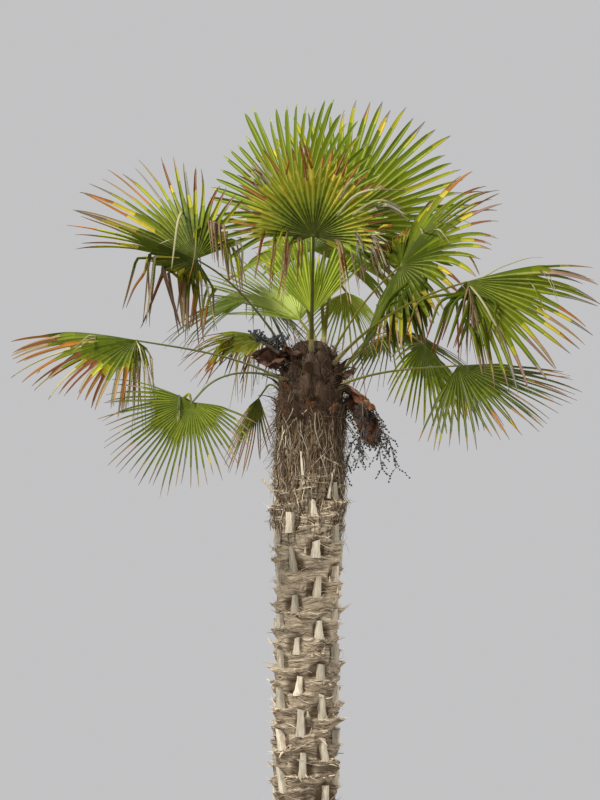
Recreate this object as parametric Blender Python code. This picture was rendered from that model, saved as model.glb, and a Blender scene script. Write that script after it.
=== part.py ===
"""A windmill palm 3.6 m tall, as a fibrous trunk, leaf stalks, pleated fan blades and fruit stalks.

Metres, +Z up. The origin is the middle of the flat cut under the trunk, at ground level.
The front of the tree faces -Y. Azimuths are degrees in plan, from +X towards +Y.
"""

import math
import random
from dataclasses import dataclass, replace

import bmesh
import bpy
from mathutils import Matrix, Vector
from mathutils.bvhtree import BVHTree
from mathutils.geometry import interpolate_bezier

# Driving sizes of the trunk.
TRUNK_HEIGHT = 2.60
TRUNK_LEAN = 0.032  # how far the tip stands off the foot, along +X
LEAN_CURVE = 1.4  # above 1, the trunk leans more towards its top
COLUMN_RADIUS = 0.113
FLARE = 0.060  # how much the foot is wider than the column
FLARE_FALL = 0.13  # height over which the flare dies away
SHOULDER = 0.011  # how much the upper column is thicker, where the old bases still sit
SHOULDER_FOOT = 1.55
SHOULDER_TOP = 2.05
HEAD_FOOT = 2.24  # where the fibrous head starts to close
TIP_RADIUS = 0.030
TRUNK_SIDES = 12
RIDGE_PROUD = 0.020
RINGS_PER_RIDGE = 2
RIDGE_CURVE = 1.5  # above 1, the ridge swells late and drops back at once
CLEAR = 0.0004  # gap kept between neighbouring solids

# The cut leaf bases on the trunk, which stand in eight steep rows.
BASE_FIRST = 0.352
BASE_LAST = 2.14
BASE_RISE = 0.0183  # from one leaf base to the next
BASE_TURN = math.radians(134.4)
BASE_START = math.radians(-163)  # azimuth of the lowest one
BASE_ROWS = 8
BASE_WIDTH = 0.030
BASE_HEIGHT = 0.082
BASE_PROUD = 0.016
BASE_SUNK = 0.030
BASE_LEAN = 0.010  # how much further its cut top stands out
BASE_TUCK = 0.004  # how much its foot is tucked in
RIDGE_PITCH = BASE_ROWS * BASE_RISE  # height of one turn of the matted ridge, a leaf base in each row

# The leaf stalks.
STALK_FOOT_RADIUS = 0.0125
STALK_TIP_RADIUS = 0.0058
STALK_SWELL = 0.5  # how much thicker the stalk's foot is, over the first third
STALK_STEPS = 6
STALK_SUNK = 0.55  # share of the head's radius at which a stalk starts
LEAVE_PULL = 0.35  # how strongly the curve holds to its first heading
ARRIVE_PULL = 0.30  # and to its last one
STRAIGHT_END = 0.02  # the last stretch of the stalk, in line with the collar
COLLAR_LENGTH = 0.030  # the stub of rib that a blade keeps under its hub
COLLAR_RADIUS = 0.0062

# The blades.
SPLIT = 0.50  # share of a leaflet's length that is joined to its neighbours
BEND = 0.77  # where a free tip has its one bend
HANG_OUT = 0.2  # how far a creased tip leans out from hanging straight down
TIP_SHARE = 0.46  # width at the bend, as a share of the width at the split
PLEAT = 0.30  # depth of a pleat, as a share of its width
BLADE_THICK = 0.005
OUTER_SHORT = 0.22  # how much shorter the outermost leaflets are
SHORT_CURVE = 2.5
PULL = 1.6  # strength of the droop at the very tip
WAY_STEPS = 16  # steps in which a leaflet's curve is worked out
SPLIT_STEP = int(SPLIT * WAY_STEPS)
HUB_SHARE = 0.06  # share of a leaflet that lies over the collar
ROOM = 0.010  # room that a leaflet needs on each side

# The fruit stalks.
STEM_STEPS = 6
STEM_RADIUS = 0.011
STEM_SUNK = 0.7  # share of the head's radius at which a fruit stalk starts
TWIGS_FROM = 0.35  # share of the stem that carries no twigs
TWIG_RADIUS = 0.0035
BERRY_RADIUS = 0.009
BRACT_SIZE = (0.16, 0.055, 0.022)
BRACT_CURL = 0.25  # how far its tip curls, as a share of its length

GOLDEN_TURN = math.radians(137.5)
SHARP_ANGLE = math.radians(40)
DOWN = Vector((0.0, 0.0, -1.0))


@dataclass(frozen=True)
class Frond:
    """One leaf: where its hub is, which way its blade lies, and how the blade is shaped."""

    name: str
    hub: tuple  # place of the blade's hub
    foot: tuple  # azimuth and height at which the stalk leaves the trunk's head
    aim: float  # azimuth of the middle leaflet
    rise: float  # its angle above the horizon
    roll: float  # turn of the blade about its middle leaflet
    radius: float  # length of the middle leaflets
    spread: float  # half angle of the fan
    fold: float  # how far each half hangs like a roof, or lifts where it is negative
    droop: float  # how far gravity bends the free tips
    leaflets: int
    creased: tuple = ()  # pairs of angles between which the leaflets hang from a crease
    arch: float = 0.35  # how steeply the stalk leaves the head


FRONDS = (
    Frond("top_left", (-0.015, 0.10, 3.07), (75, 2.54), 95, 100, -42, 0.475, 112, -4, 0.08, 20),
    Frond("top_right", (0.137, 0.27, 3.09), (28, 2.52), 5, 58, 64, 0.547, 112, 0, 0.06, 20),
    Frond("front", (0.037, -0.42, 2.917), (-90, 2.52), -88, 48, -8, 0.40, 112, 14, 0.04, 20,
          ((-112, -92), (92, 112))),
    Frond("upper_left", (-0.393, -0.10, 2.891), (176, 2.50), 196, 23, -118, 0.505, 130, 55, 0.24, 22,
          ((-130, -40), (108, 130))),
    Frond("heart_left", (-0.011, 0.16, 2.70), (130, 2.53), 143, 40, -20, 0.43, 62, 0, 0.14, 14),
    Frond("heart", (0.035, 0.00, 2.70), (-60, 2.57), 80, 84, 0, 0.40, 46, 0, 0.05, 12),
    Frond("far_left", (-0.612, -0.10, 2.590), (-168, 2.43), 172, 8, -4, 0.49, 125, 30, 0.46, 20,
          ((92, 125), (-125, -100))),
    Frond("low_left", (-0.390, -0.38, 2.333), (-150, 2.44), -156, -57, -44, 0.372, 102, -6, 0.22, 20),
    Frond("back_left", (-0.15, 0.22, 2.645), (140, 2.46), 160, 12, -20, 0.36, 90, 30, 0.90, 15,
          ((40, 90), (-90, -50))),
    Frond("hanging_left", (-0.165, 0.10, 2.40), (160, 2.34), 168, -68, 10, 0.32, 60, 10, 0.10, 10),
    Frond("upper_right", (0.357, -0.10, 2.865), (-12, 2.51), -36, 28, 54, 0.483, 132, 0, 0.50, 22),
    Frond("far_right", (0.572, -0.46, 2.748), (-25, 2.48), -2, 13, 36, 0.49, 110, 43, 0.42, 20,
          ((84, 110), (-110, -80))),
    Frond("low_right", (0.554, -0.26, 2.477), (-42, 2.40), -24, -2, 12, 0.445, 106, 43, 0.14, 20),
    Frond("mid_right", (0.456, 0.12, 2.605), (14, 2.44), 14, -46, 32, 0.37, 105, 34, 0.34, 17),
    Frond("back_right", (0.17, 0.36, 2.84), (58, 2.44), 62, -40, 0, 0.34, 90, 30, 0.40, 14),
    Frond("back_low", (0.05, 0.40, 2.48), (92, 2.31), 92, -38, 0, 0.40, 80, 35, 0.30, 14),
    Frond("rear_left", (-0.20, 0.62, 2.86), (118, 2.40), 112, 14, 0, 0.46, 120, 25, 0.50, 19, ((90, 120),)),
    Frond("rear_right", (0.36, 0.60, 2.72), (24, 2.36), 56, 4, 0, 0.46, 120, 30, 0.50, 19, ((-120, -90),)),
    Frond("rear_top", (0.04, 0.66, 3.06), (92, 2.50), 88, 34, 0, 0.46, 118, 18, 0.40, 19),
)


@dataclass(frozen=True)
class Cluster:
    """One fruit stalk: where it leaves the head, which way it goes, and how it is branched."""

    name: str
    foot: tuple  # azimuth and height on the trunk's head
    lead: tuple  # the way it sets out
    reach: float  # length of its stem
    sag: float  # how far the stem is pulled down along its length
    twigs: int
    twig_length: float
    hang: float  # how far the twigs hang, from 0 to straight down at 1
    bracts: int
    seed: int


CLUSTERS = (
    Cluster("right", (-4, 2.44), (1.0, -0.1, 0.2), 0.25, 2.6, 11, 0.17, 0.80, 3, 4),
    Cluster("left", (202, 2.51), (-1.0, -0.35, 0.9), 0.15, 0.3, 8, 0.07, 0.15, 2, 8),
)


def clear_scene():
    for obj in list(bpy.data.objects):
        bpy.data.objects.remove(obj)


def material(name, color, roughness):
    made = bpy.data.materials.new(name)
    made.use_nodes = True
    shader = made.node_tree.nodes["Principled BSDF"]
    shader.inputs["Base Color"].default_value = (*color, 1.0)
    shader.inputs["Roughness"].default_value = roughness
    shader.inputs["Metallic"].default_value = 0.0
    made.diffuse_color = (*color, 1.0)
    return made


def shade_round(obj):
    """Smooth shading, apart from edges as sharp as a cut end."""
    obj.data.shade_smooth()
    obj.data.set_sharp_from_angle(angle=SHARP_ANGLE)
    return obj


def add_object(name, mesh, finish=None):
    obj = bpy.data.objects.new(name, mesh)
    bpy.context.scene.collection.objects.link(obj)
    if finish:
        mesh.materials.append(finish)
    return obj


def mesh_from(bm, name):
    """Flat triangles with their faces out, so that a Boolean gives back exactly what it met."""
    bmesh.ops.recalc_face_normals(bm, faces=bm.faces)
    bmesh.ops.triangulate(bm, faces=bm.faces)
    mesh = bpy.data.meshes.new(name)
    bm.to_mesh(mesh)
    bm.free()
    return mesh


def freeze(obj):
    """The object's evaluated mesh takes the place of its modifiers."""
    bpy.context.view_layer.update()
    graph = bpy.context.evaluated_depsgraph_get()
    made = bpy.data.meshes.new_from_object(obj.evaluated_get(graph))
    obj.modifiers.clear()
    obj.data = made
    return obj


def union(obj, others, name):
    """Joins a few helpers to obj, applies the Boolean and removes the helpers."""
    group = bpy.data.collections.new(name)
    bpy.context.scene.collection.children.link(group)
    for other in others:
        bpy.context.scene.collection.objects.unlink(other)
        group.objects.link(other)
    join = obj.modifiers.new("join", "BOOLEAN")
    join.operation = "UNION"
    join.operand_type = "COLLECTION"
    join.collection = group
    join.solver = "MANIFOLD"
    freeze(obj)
    for other in others:
        bpy.data.objects.remove(other)
    bpy.data.collections.remove(group)
    return obj


def clear_of_head(obj, cutter):
    """Cuts a stalk back to the trunk's head, with the usual gap."""
    cut = obj.modifiers.new("clear of the head", "BOOLEAN")
    cut.operation = "DIFFERENCE"
    cut.object = cutter
    return shade_round(freeze(obj))


def smooth(low, high, value):
    share = min(1.0, max(0.0, (value - low) / (high - low)))
    return share * share * (3 - 2 * share)


# The trunk: a leaning column with a flared foot, a matted spiral ridge and a domed fibrous head.


def trunk_axis(height):
    share = height / TRUNK_HEIGHT
    return Vector((TRUNK_LEAN * share**LEAN_CURVE, 0.0, height))


def trunk_radius(height):
    column = COLUMN_RADIUS + FLARE * math.exp(-height / FLARE_FALL)
    column += SHOULDER * smooth(SHOULDER_FOOT, SHOULDER_TOP, height)
    if height <= HEAD_FOOT:
        return column
    share = (height - HEAD_FOOT) / (TRUNK_HEIGHT - HEAD_FOOT)
    return TIP_RADIUS + (column - TIP_RADIUS) * math.sqrt(max(0.0, 1 - share**3))


def ridge(azimuth, height):
    """How proud the matted ridge stands at a place, as a saw tooth that climbs with the leaf bases."""
    turn = height / RIDGE_PITCH + azimuth / math.tau
    fade = smooth(0.0, 0.25, height) * (1 - smooth(HEAD_FOOT - 0.1, HEAD_FOOT + 0.1, height))
    return RIDGE_PROUD * fade * (turn % 1.0) ** RIDGE_CURVE


def trunk_heights():
    step = RIDGE_PITCH / RINGS_PER_RIDGE
    column = [step * n for n in range(math.floor(HEAD_FOOT / step) + 1)]
    column = [0.0, 0.05, *column[2:]]
    head = [HEAD_FOOT + (TRUNK_HEIGHT - HEAD_FOOT) * share for share in (0.25, 0.5, 0.7, 0.85, 0.95, 1.0)]
    return column + head


def trunk_mesh(name, grow=0.0):
    """The trunk as rings pulled up one after another, thicker by grow for use as a cutter."""
    bm = bmesh.new()
    ring = bmesh.ops.create_circle(bm, segments=TRUNK_SIDES, radius=1.0, cap_ends=True)["verts"]
    loop = [e for e in bm.edges if e.is_boundary or len(e.link_faces) == 1]
    azimuths = [math.atan2(v.co.y, v.co.x) for v in ring]
    heights = trunk_heights()
    heights[-1] += grow
    for level, height in enumerate(heights):
        if level:
            pulled = bmesh.ops.extrude_edge_only(bm, edges=loop)["geom"]
            loop = [e for e in pulled if isinstance(e, bmesh.types.BMEdge)]
            verts = [v for v in pulled if isinstance(v, bmesh.types.BMVert)]
        else:
            verts = list(ring)
        middle = trunk_axis(height)
        for vert in verts:
            offset = vert.co - (trunk_axis(heights[level - 1]) if level else Vector())
            azimuth = math.atan2(offset.y, offset.x)
            azimuth = min(azimuths, key=lambda a: abs(math.remainder(a - azimuth, math.tau)))
            radius = trunk_radius(height) + ridge(azimuth, height) + grow
            vert.co = middle + Vector((radius * math.cos(azimuth), radius * math.sin(azimuth), 0))
    bmesh.ops.contextual_create(bm, geom=loop)
    return mesh_from(bm, name)


def leaf_base(azimuth, height, rng):
    """One cut leaf base: a tapered block sunk in the trunk, leaning out towards its cut top."""
    bm = bmesh.new()
    bmesh.ops.create_cube(bm, size=1.0)
    tall = BASE_HEIGHT * rng.uniform(0.8, 1.15)
    proud = BASE_PROUD * rng.uniform(0.6, 1.3)
    for vert in bm.verts:
        top = vert.co.z > 0
        outer = vert.co.x > 0
        wide = BASE_WIDTH * (0.78 if top else 1.1) * (0.85 if outer else 1.0)
        reach = proud + BASE_LEAN if top else proud - BASE_TUCK
        radius = trunk_radius(height) + (reach if outer else -BASE_SUNK)
        vert.co = Vector((radius, vert.co.y * wide, vert.co.z * tall))
    turn = Matrix.Rotation(azimuth, 4, "Z")
    place = Matrix.Translation(trunk_axis(height))
    bmesh.ops.transform(bm, matrix=place @ turn, verts=bm.verts)
    return add_object("leaf_base", mesh_from(bm, "leaf_base"))


def make_trunk(finish):
    trunk = add_object("trunk", trunk_mesh("trunk"), finish)
    rng = random.Random(5)
    count = int((BASE_LAST - BASE_FIRST) / BASE_RISE)
    bases = [leaf_base(BASE_START + n * BASE_TURN, BASE_FIRST + n * BASE_RISE, rng) for n in range(count)]
    return shade_round(union(trunk, bases, "leaf_bases"))


# The fronds: a stalk and a blade each.


def blade_axes(frond):
    """Unit vectors along the middle leaflet, across the blade, and out of its upper face."""
    aim, rise = math.radians(frond.aim), math.radians(frond.rise)
    along = Vector((math.cos(aim) * math.cos(rise), math.sin(aim) * math.cos(rise), math.sin(rise)))
    side = Vector((math.sin(aim), -math.cos(aim), 0.0))
    turn = Matrix.Rotation(math.radians(frond.roll), 3, along)
    side = turn @ side
    return along, side, side.cross(along)


@dataclass
class Leaflet:
    angle: float
    length: float
    droop: float
    creased: bool
    whole: bool = True  # a leaflet that would touch another solid is cut back to its split


def plan_leaflets(frond):
    """Deals out the leaflets of a fan: the middle ones longest, the outer ones hanging more."""
    rng = random.Random(frond.name)
    half = math.radians(frond.spread)
    plan = []
    for n in range(frond.leaflets):
        share = (2 * n + 1) / frond.leaflets - 1
        length = frond.radius * (1 - OUTER_SHORT * abs(share) ** SHORT_CURVE) * rng.uniform(0.95, 1.04)
        droop = frond.droop * (0.7 + 0.9 * share**2) * rng.uniform(0.6, 1.4)
        degrees = frond.spread * share
        creased = any(low <= degrees <= high for low, high in frond.creased)
        plan.append(Leaflet(half * share, length, droop, creased))
    return plan


def rib_way(frond, leaflet):
    """Places along a leaflet's rib, in WAY_STEPS equal steps from the hub to the tip."""
    along, side, up = blade_axes(frond)
    fold = math.radians(frond.fold)
    out = along * math.cos(leaflet.angle) + side * math.sin(leaflet.angle) * math.cos(fold)
    out -= up * abs(math.sin(leaflet.angle)) * math.sin(fold)
    place = Vector(frond.hub)
    places = [place.copy()]
    for step in range(WAY_STEPS):
        share = (step + 0.5) / WAY_STEPS
        heading = (out + DOWN * leaflet.droop * PULL * share**2).normalized()
        if leaflet.creased and share > SPLIT:
            heading = (out * HANG_OUT + DOWN).normalized()
        place = place + heading * (leaflet.length / WAY_STEPS)
        places.append(place)
    return places


def on_way(places, share):
    """The place and heading at a share of a leaflet's length."""
    spot = min(share * WAY_STEPS, WAY_STEPS - 1e-6)
    low = int(spot)
    heading = (places[low + 1] - places[low]).normalized()
    return places[low].lerp(places[low + 1], spot - low), heading


def suture(frond, left, right):
    """The raised line where two leaflets are joined, as its place at the split."""
    between = Leaflet((left.angle + right.angle) / 2, (left.length + right.length) / 2,
                      (left.droop + right.droop) / 2, False)
    place, _ = on_way(rib_way(frond, between), SPLIT)
    half_angle = (right.angle - left.angle) / 2
    width = 2 * between.length * SPLIT * math.sin(half_angle)
    return place + blade_axes(frond)[2] * PLEAT * width


def edge_suture(frond, leaflet, sign, half_angle):
    """The free edge of the first or last leaflet."""
    beyond = Leaflet(leaflet.angle + sign * half_angle, leaflet.length, leaflet.droop, False)
    return suture(frond, beyond, beyond) + blade_axes(frond)[2] * PLEAT * beyond.length * SPLIT * half_angle


def blade_sheet(frond, plan):
    """The blade as one pleated sheet, cut between its leaflets down to the split."""
    bm = bmesh.new()
    up = blade_axes(frond)[2]
    half_angle = math.radians(frond.spread) / frond.leaflets
    hub = bm.verts.new(frond.hub)
    joins = [edge_suture(frond, plan[0], -1, half_angle)]
    joins += [suture(frond, a, b) for a, b in zip(plan, plan[1:])]
    joins += [edge_suture(frond, plan[-1], 1, half_angle)]
    joins = [bm.verts.new(place) for place in joins]
    for leaflet, left, right in zip(plan, joins, joins[1:]):
        way = rib_way(frond, leaflet)
        rib = bm.verts.new(on_way(way, SPLIT)[0])
        bm.faces.new((hub, left, rib))
        bm.faces.new((hub, rib, right))
        if not leaflet.whole:
            continue
        place, heading = on_way(way, BEND)
        across = heading.cross(up).normalized()
        if across.dot(right.co - left.co) < 0:
            across.negate()
        lift = across.cross(heading).normalized()
        if lift.dot(up) < 0:
            lift.negate()
        half = (right.co - left.co).length / 2 * TIP_SHARE
        bend_left = bm.verts.new(place - across * half + lift * half * PLEAT)
        bend_right = bm.verts.new(place + across * half + lift * half * PLEAT)
        tip = bm.verts.new(way[-1])
        bm.faces.new((left, bend_left, rib))
        bm.faces.new((rib, bend_left, bend_right))
        bm.faces.new((rib, bend_right, right))
        bm.faces.new((bend_left, tip, bend_right))
    return mesh_from(bm, "fan_" + frond.name)


def joint(frond):
    """Where the stalk ends and the blade's collar starts, and the way from there to the hub."""
    along = blade_axes(frond)[0]
    azimuth, height = math.radians(frond.foot[0]), frond.foot[1]
    out = Vector((math.cos(azimuth), math.sin(azimuth), 0.0))
    start = trunk_axis(height) + out * trunk_radius(height) * STALK_SUNK
    chord = (Vector(frond.hub) - start).normalized()
    arrive = (chord * 0.3 + along).normalized()
    return start, Vector(frond.hub) - arrive * COLLAR_LENGTH, arrive


def stalk_way(frond):
    """The stalk's curve from inside the trunk's head, ending straight in front of the collar."""
    start, end, arrive = joint(frond)
    end = end - arrive * CLEAR
    straight = end - arrive * STRAIGHT_END
    chord = straight - start
    leave = (chord.normalized() + Vector((0, 0, frond.arch))).normalized()
    reach = chord.length
    curve = interpolate_bezier(start, start + leave * reach * LEAVE_PULL,
                               straight - arrive * reach * ARRIVE_PULL, straight, STALK_STEPS + 1)
    return [*curve, end]


def tube(name, places, radii, finish=None):
    """A six-sided tapering tube with closed ends through the given places."""
    line = bpy.data.curves.new(name, "CURVE")
    line.dimensions = "3D"
    line.bevel_depth = 1.0
    line.bevel_resolution = 1
    line.use_fill_caps = True
    spline = line.splines.new("POLY")
    spline.points.add(len(places) - 1)
    for point, place, radius in zip(spline.points, places, radii):
        point.co = (*place, 1.0)
        point.radius = radius
    guide = add_object(name + "_line", line)
    bpy.context.view_layer.update()
    mesh = bpy.data.meshes.new_from_object(guide.evaluated_get(bpy.context.evaluated_depsgraph_get()))
    bpy.data.objects.remove(guide)
    bm = bmesh.new()
    bm.from_mesh(mesh)
    bmesh.ops.remove_doubles(bm, verts=bm.verts, dist=1e-5)
    made = mesh_from(bm, name)
    made.materials.clear()
    return add_object(name, made, finish)


def make_stalk(frond, cutter, finish):
    way = stalk_way(frond)
    radii = []
    for n in range(len(way)):
        share = n / (len(way) - 1)
        swell = STALK_SWELL * max(0.0, 1 - share * 3)
        radii.append((STALK_FOOT_RADIUS + (STALK_TIP_RADIUS - STALK_FOOT_RADIUS) * share) * (1 + swell))
    return clear_of_head(tube("stalk_" + frond.name, way, radii, finish), cutter)


def tree_of(obj):
    bm = bmesh.new()
    bm.from_mesh(obj.data)
    found = BVHTree.FromBMesh(bm)
    bm.free()
    return found


def make_blade(frond, plan, finish):
    blade = add_object("fan_" + frond.name, blade_sheet(frond, plan), finish)
    thick = blade.modifiers.new("thickness", "SOLIDIFY")
    thick.thickness = BLADE_THICK
    thick.offset = 0.0
    freeze(blade)
    _, start, arrive = joint(frond)
    hub = Vector(frond.hub)
    tip = hub + (arrive + blade_axes(frond)[0]).normalized() * COLLAR_RADIUS * 2
    collar = tube("collar", [start, hub, tip], [COLLAR_RADIUS, COLLAR_RADIUS, COLLAR_RADIUS * 0.4])
    return union(blade, [collar], "collars")


def touches(obj, trees):
    own = tree_of(obj)
    return any(own.overlap(tree) for tree in trees)


def tip_tree(frond, leaflet):
    """The free part of a leaflet as slim crossed strips, to test what it would touch."""
    way = rib_way(frond, leaflet)
    verts, faces = [], []
    for start, end in zip(way[SPLIT_STEP:], way[SPLIT_STEP + 1:]):
        for across in (Vector((ROOM, 0, 0)), Vector((0, ROOM, 0)), Vector((0, 0, ROOM))):
            first = len(verts)
            verts += [start - across, end - across, end + across, start + across]
            faces.append((first, first + 1, first + 2, first + 3))
    return BVHTree.FromPolygons(verts, faces)


def joined_tree(frond, leaflet, half_angle):
    """The joined part of a leaflet as two layers, to test what it would touch."""
    up = blade_axes(frond)[2]
    corners = []
    for turn, shares in ((-half_angle, (HUB_SHARE, SPLIT)), (half_angle, (SPLIT, HUB_SHARE))):
        way = rib_way(frond, replace(leaflet, angle=leaflet.angle + turn, creased=False))
        corners += [on_way(way, share)[0] for share in shares]
    verts = [corner + up * lift for lift in (-ROOM, ROOM) for corner in corners]
    return BVHTree.FromPolygons(verts, ((0, 1, 2, 3), (4, 5, 6, 7), (0, 1, 5, 4), (2, 3, 7, 6)))


def make_frond_blade(frond, trees, finish):
    """A blade without the outer leaflets that would touch what is already there.

    An inner leaflet that would touch it is cut back to the split.
    """
    plan = plan_leaflets(frond)
    half_angle = math.radians(frond.spread) / frond.leaflets

    def blocked(leaflet):
        joined = joined_tree(frond, leaflet, half_angle)
        return any(joined.overlap(tree) for tree in trees)

    middle = frond.leaflets // 2
    for n in range(middle, -1, -1):
        if blocked(plan[n]):
            plan, middle = plan[n + 1:], middle - n - 1
            break
    for n in range(middle, len(plan)):
        if blocked(plan[n]):
            plan = plan[:n]
            break
    for leaflet in plan:
        free = tip_tree(frond, leaflet)
        leaflet.whole = not any(free.overlap(tree) for tree in trees)
    return make_blade(frond, plan, finish)


# The fruit stalks: a sagging stem with papery bracts at its foot, branched twigs and berries.


def stem_way(cluster):
    azimuth, height = math.radians(cluster.foot[0]), cluster.foot[1]
    out = Vector((math.cos(azimuth), math.sin(azimuth), 0.0))
    place = trunk_axis(height) + out * trunk_radius(height) * STEM_SUNK
    heading = Vector(cluster.lead).normalized()
    places = [place.copy()]
    for _ in range(STEM_STEPS):
        heading = (heading + DOWN * cluster.sag / STEM_STEPS).normalized()
        place = place + heading * cluster.reach / STEM_STEPS
        places.append(place)
    return places


def spike(start, end, radius, top_radius):
    """A three-sided tapering twig from one place to another."""
    bm = bmesh.new()
    run = end - start
    bmesh.ops.create_cone(bm, cap_ends=True, segments=3, radius1=radius, radius2=top_radius, depth=run.length)
    turn = run.to_track_quat("Z", "Y").to_matrix().to_4x4()
    bmesh.ops.transform(bm, matrix=Matrix.Translation((start + end) / 2) @ turn, verts=bm.verts)
    return add_object("twig", mesh_from(bm, "twig"))


def berry(place):
    """An eight-faced berry."""
    bm = bmesh.new()
    bmesh.ops.create_uvsphere(bm, u_segments=4, v_segments=2, radius=BERRY_RADIUS)
    bmesh.ops.translate(bm, vec=place, verts=bm.verts)
    return add_object("berry", mesh_from(bm, "berry"))


def bract(place, heading, rng):
    """A boat-shaped papery bract that wraps the stem's foot and curls at its tip."""
    bm = bmesh.new()
    bmesh.ops.create_uvsphere(bm, u_segments=6, v_segments=3, radius=0.5)
    length = BRACT_SIZE[0] * rng.uniform(0.7, 1.1)
    for vert in bm.verts:
        along = vert.co.z + 0.5
        curl = BRACT_CURL * length * along**2
        vert.co = Vector((vert.co.x * BRACT_SIZE[1], vert.co.y * BRACT_SIZE[2] + curl, along * length))
    point = heading.to_track_quat("Z", "Y").to_matrix().to_4x4()
    turn = Matrix.Rotation(rng.uniform(0, math.tau), 4, "Z")
    bmesh.ops.transform(bm, matrix=Matrix.Translation(place) @ point @ turn, verts=bm.verts)
    return add_object("bract", mesh_from(bm, "bract"))


def make_cluster(cluster, cutter, trees, finish):
    """Grows a fruit stalk, leaving out the twigs that would touch what is already there."""
    rng = random.Random(cluster.seed)
    places = stem_way(cluster)
    radii = [STEM_RADIUS * (1 - 0.5 * n / STEM_STEPS) for n in range(STEM_STEPS + 1)]
    stem = tube("fruit_" + cluster.name, places, radii, finish)
    sprigs = []
    for n in range(cluster.bracts):
        spot = n % (STEM_STEPS - 3) + 2
        way = (places[spot + 1] - places[spot]).normalized()
        lean = Vector((rng.uniform(-0.5, 0.5), rng.uniform(-0.5, 0.5), rng.uniform(-0.8, 0.2)))
        sprigs.append([bract(places[spot], (way + lean).normalized(), rng)])
    for n in range(cluster.twigs):
        share = TWIGS_FROM + (1 - TWIGS_FROM) * n / (cluster.twigs - 1)
        spot = min(int(share * STEM_STEPS), STEM_STEPS - 1)
        start = places[spot].lerp(places[spot + 1], share * STEM_STEPS - spot)
        turn = n * GOLDEN_TURN
        out = Vector((math.cos(turn), math.sin(turn), rng.uniform(-0.2, 0.6)))
        length = cluster.twig_length * rng.uniform(0.7, 1.2)
        elbow = start + (out + DOWN * cluster.hang).normalized() * length * 0.5
        end = elbow + (out * (1 - cluster.hang) + DOWN * cluster.hang).normalized() * length * 0.7
        near = spike(start, elbow, TWIG_RADIUS, TWIG_RADIUS * 0.8)
        far = spike(elbow - (end - elbow) * 0.05, end, TWIG_RADIUS * 0.9, TWIG_RADIUS * 0.5)
        sprigs.append([near, far, berry(end)])
    kept = []
    for sprig in sprigs:
        if any(touches(piece, trees) for piece in sprig):
            for piece in sprig:
                bpy.data.objects.remove(piece)
        else:
            kept += sprig
    union(stem, kept, "cluster")
    return clear_of_head(stem, cutter)


def main():
    clear_scene()
    bark = material("trunk_fibre", (0.42, 0.35, 0.26), 0.95)
    stalk_green = material("leaf_stalk", (0.42, 0.45, 0.16), 0.55)
    leaf_green = material("leaf_blade", (0.22, 0.36, 0.05), 0.5)
    fruit_brown = material("fruit_stalk", (0.30, 0.17, 0.10), 0.8)

    trunk = make_trunk(bark)
    cutter = add_object("head_clearance", trunk_mesh("head_clearance", CLEAR))
    cutter.hide_render = True
    cutter.display_type = "WIRE"
    stalks = [make_stalk(frond, cutter, stalk_green) for frond in FRONDS]
    trees = [tree_of(obj) for obj in [cutter, *stalks]]
    clusters = [make_cluster(cluster, cutter, trees, fruit_brown) for cluster in CLUSTERS]
    bpy.data.objects.remove(cutter)
    trees = [tree_of(obj) for obj in [trunk, *stalks, *clusters]]
    for frond in FRONDS:
        blade = make_frond_blade(frond, trees, leaf_green)
        trees.append(tree_of(blade))


main()
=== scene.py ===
"""Dresses a windmill palm around its solid frame.

Pleated fan leaves on toothed stalks, a trunk matted with fibre between cut leaf bases, and fruit stalks.
Metres, +Z up, in the frame's own place. The front of the palm faces -Y.
"""

import functools
import math
import random
from collections import namedtuple
from dataclasses import dataclass

import bmesh
import bpy
import numpy as np
from mathutils import Matrix, Vector, noise
from mathutils.geometry import interpolate_bezier
from mathutils.kdtree import KDTree


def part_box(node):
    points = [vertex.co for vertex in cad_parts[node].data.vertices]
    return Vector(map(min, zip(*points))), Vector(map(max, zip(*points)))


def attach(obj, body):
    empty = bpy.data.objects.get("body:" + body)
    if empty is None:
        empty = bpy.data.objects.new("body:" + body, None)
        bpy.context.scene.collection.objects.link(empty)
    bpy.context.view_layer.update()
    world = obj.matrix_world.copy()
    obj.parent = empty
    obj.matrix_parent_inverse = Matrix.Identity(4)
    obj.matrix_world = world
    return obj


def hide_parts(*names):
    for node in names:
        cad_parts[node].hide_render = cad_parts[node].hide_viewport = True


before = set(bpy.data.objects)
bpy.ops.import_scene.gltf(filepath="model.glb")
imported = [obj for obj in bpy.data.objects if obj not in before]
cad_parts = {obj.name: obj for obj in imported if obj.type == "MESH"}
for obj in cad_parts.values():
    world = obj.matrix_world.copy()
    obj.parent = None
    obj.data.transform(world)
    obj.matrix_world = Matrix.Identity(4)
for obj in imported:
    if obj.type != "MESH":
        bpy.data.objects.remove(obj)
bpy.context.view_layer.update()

bl_info = {
    "name": "Windmill Palm",
    "version": (1, 0, 0),
    "blender": (4, 5, 0),
    "location": "View3D > Sidebar > Palm",
    "description": "Dresses a windmill palm with pleated leaves, matted fibre, cut leaf bases and fruit",
    "category": "Add Mesh",
}

# The trunk's own rule: a leaning column with a flared foot and a domed head.
TRUNK_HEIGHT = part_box("trunk")[1].z
TRUNK_LEAN = 0.032
LEAN_CURVE = 1.4
COLUMN_RADIUS = 0.113
FLARE = 0.060
FLARE_FALL = 0.13
SHOULDER = 0.011
SHOULDER_FOOT = 1.55
SHOULDER_TOP = 2.05
HEAD_FOOT = 2.24
TIP_RADIUS = 0.030
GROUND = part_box("trunk")[0].z

# The cut leaf bases stand in eight steep rows, and the matted fibre is wrapped round under each.
BASE_FIRST = 0.352
BASE_LAST = 2.04
BASE_RISE = 0.0183
BASE_TURN = math.radians(134.4)
BASE_START = math.radians(-163)
LIP_BELOW = 0.034  # from the middle of a leaf base down to the upper edge of its mat
LIP_CLIMB = 0.004
LIP_WANDER = 0.014

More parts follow.
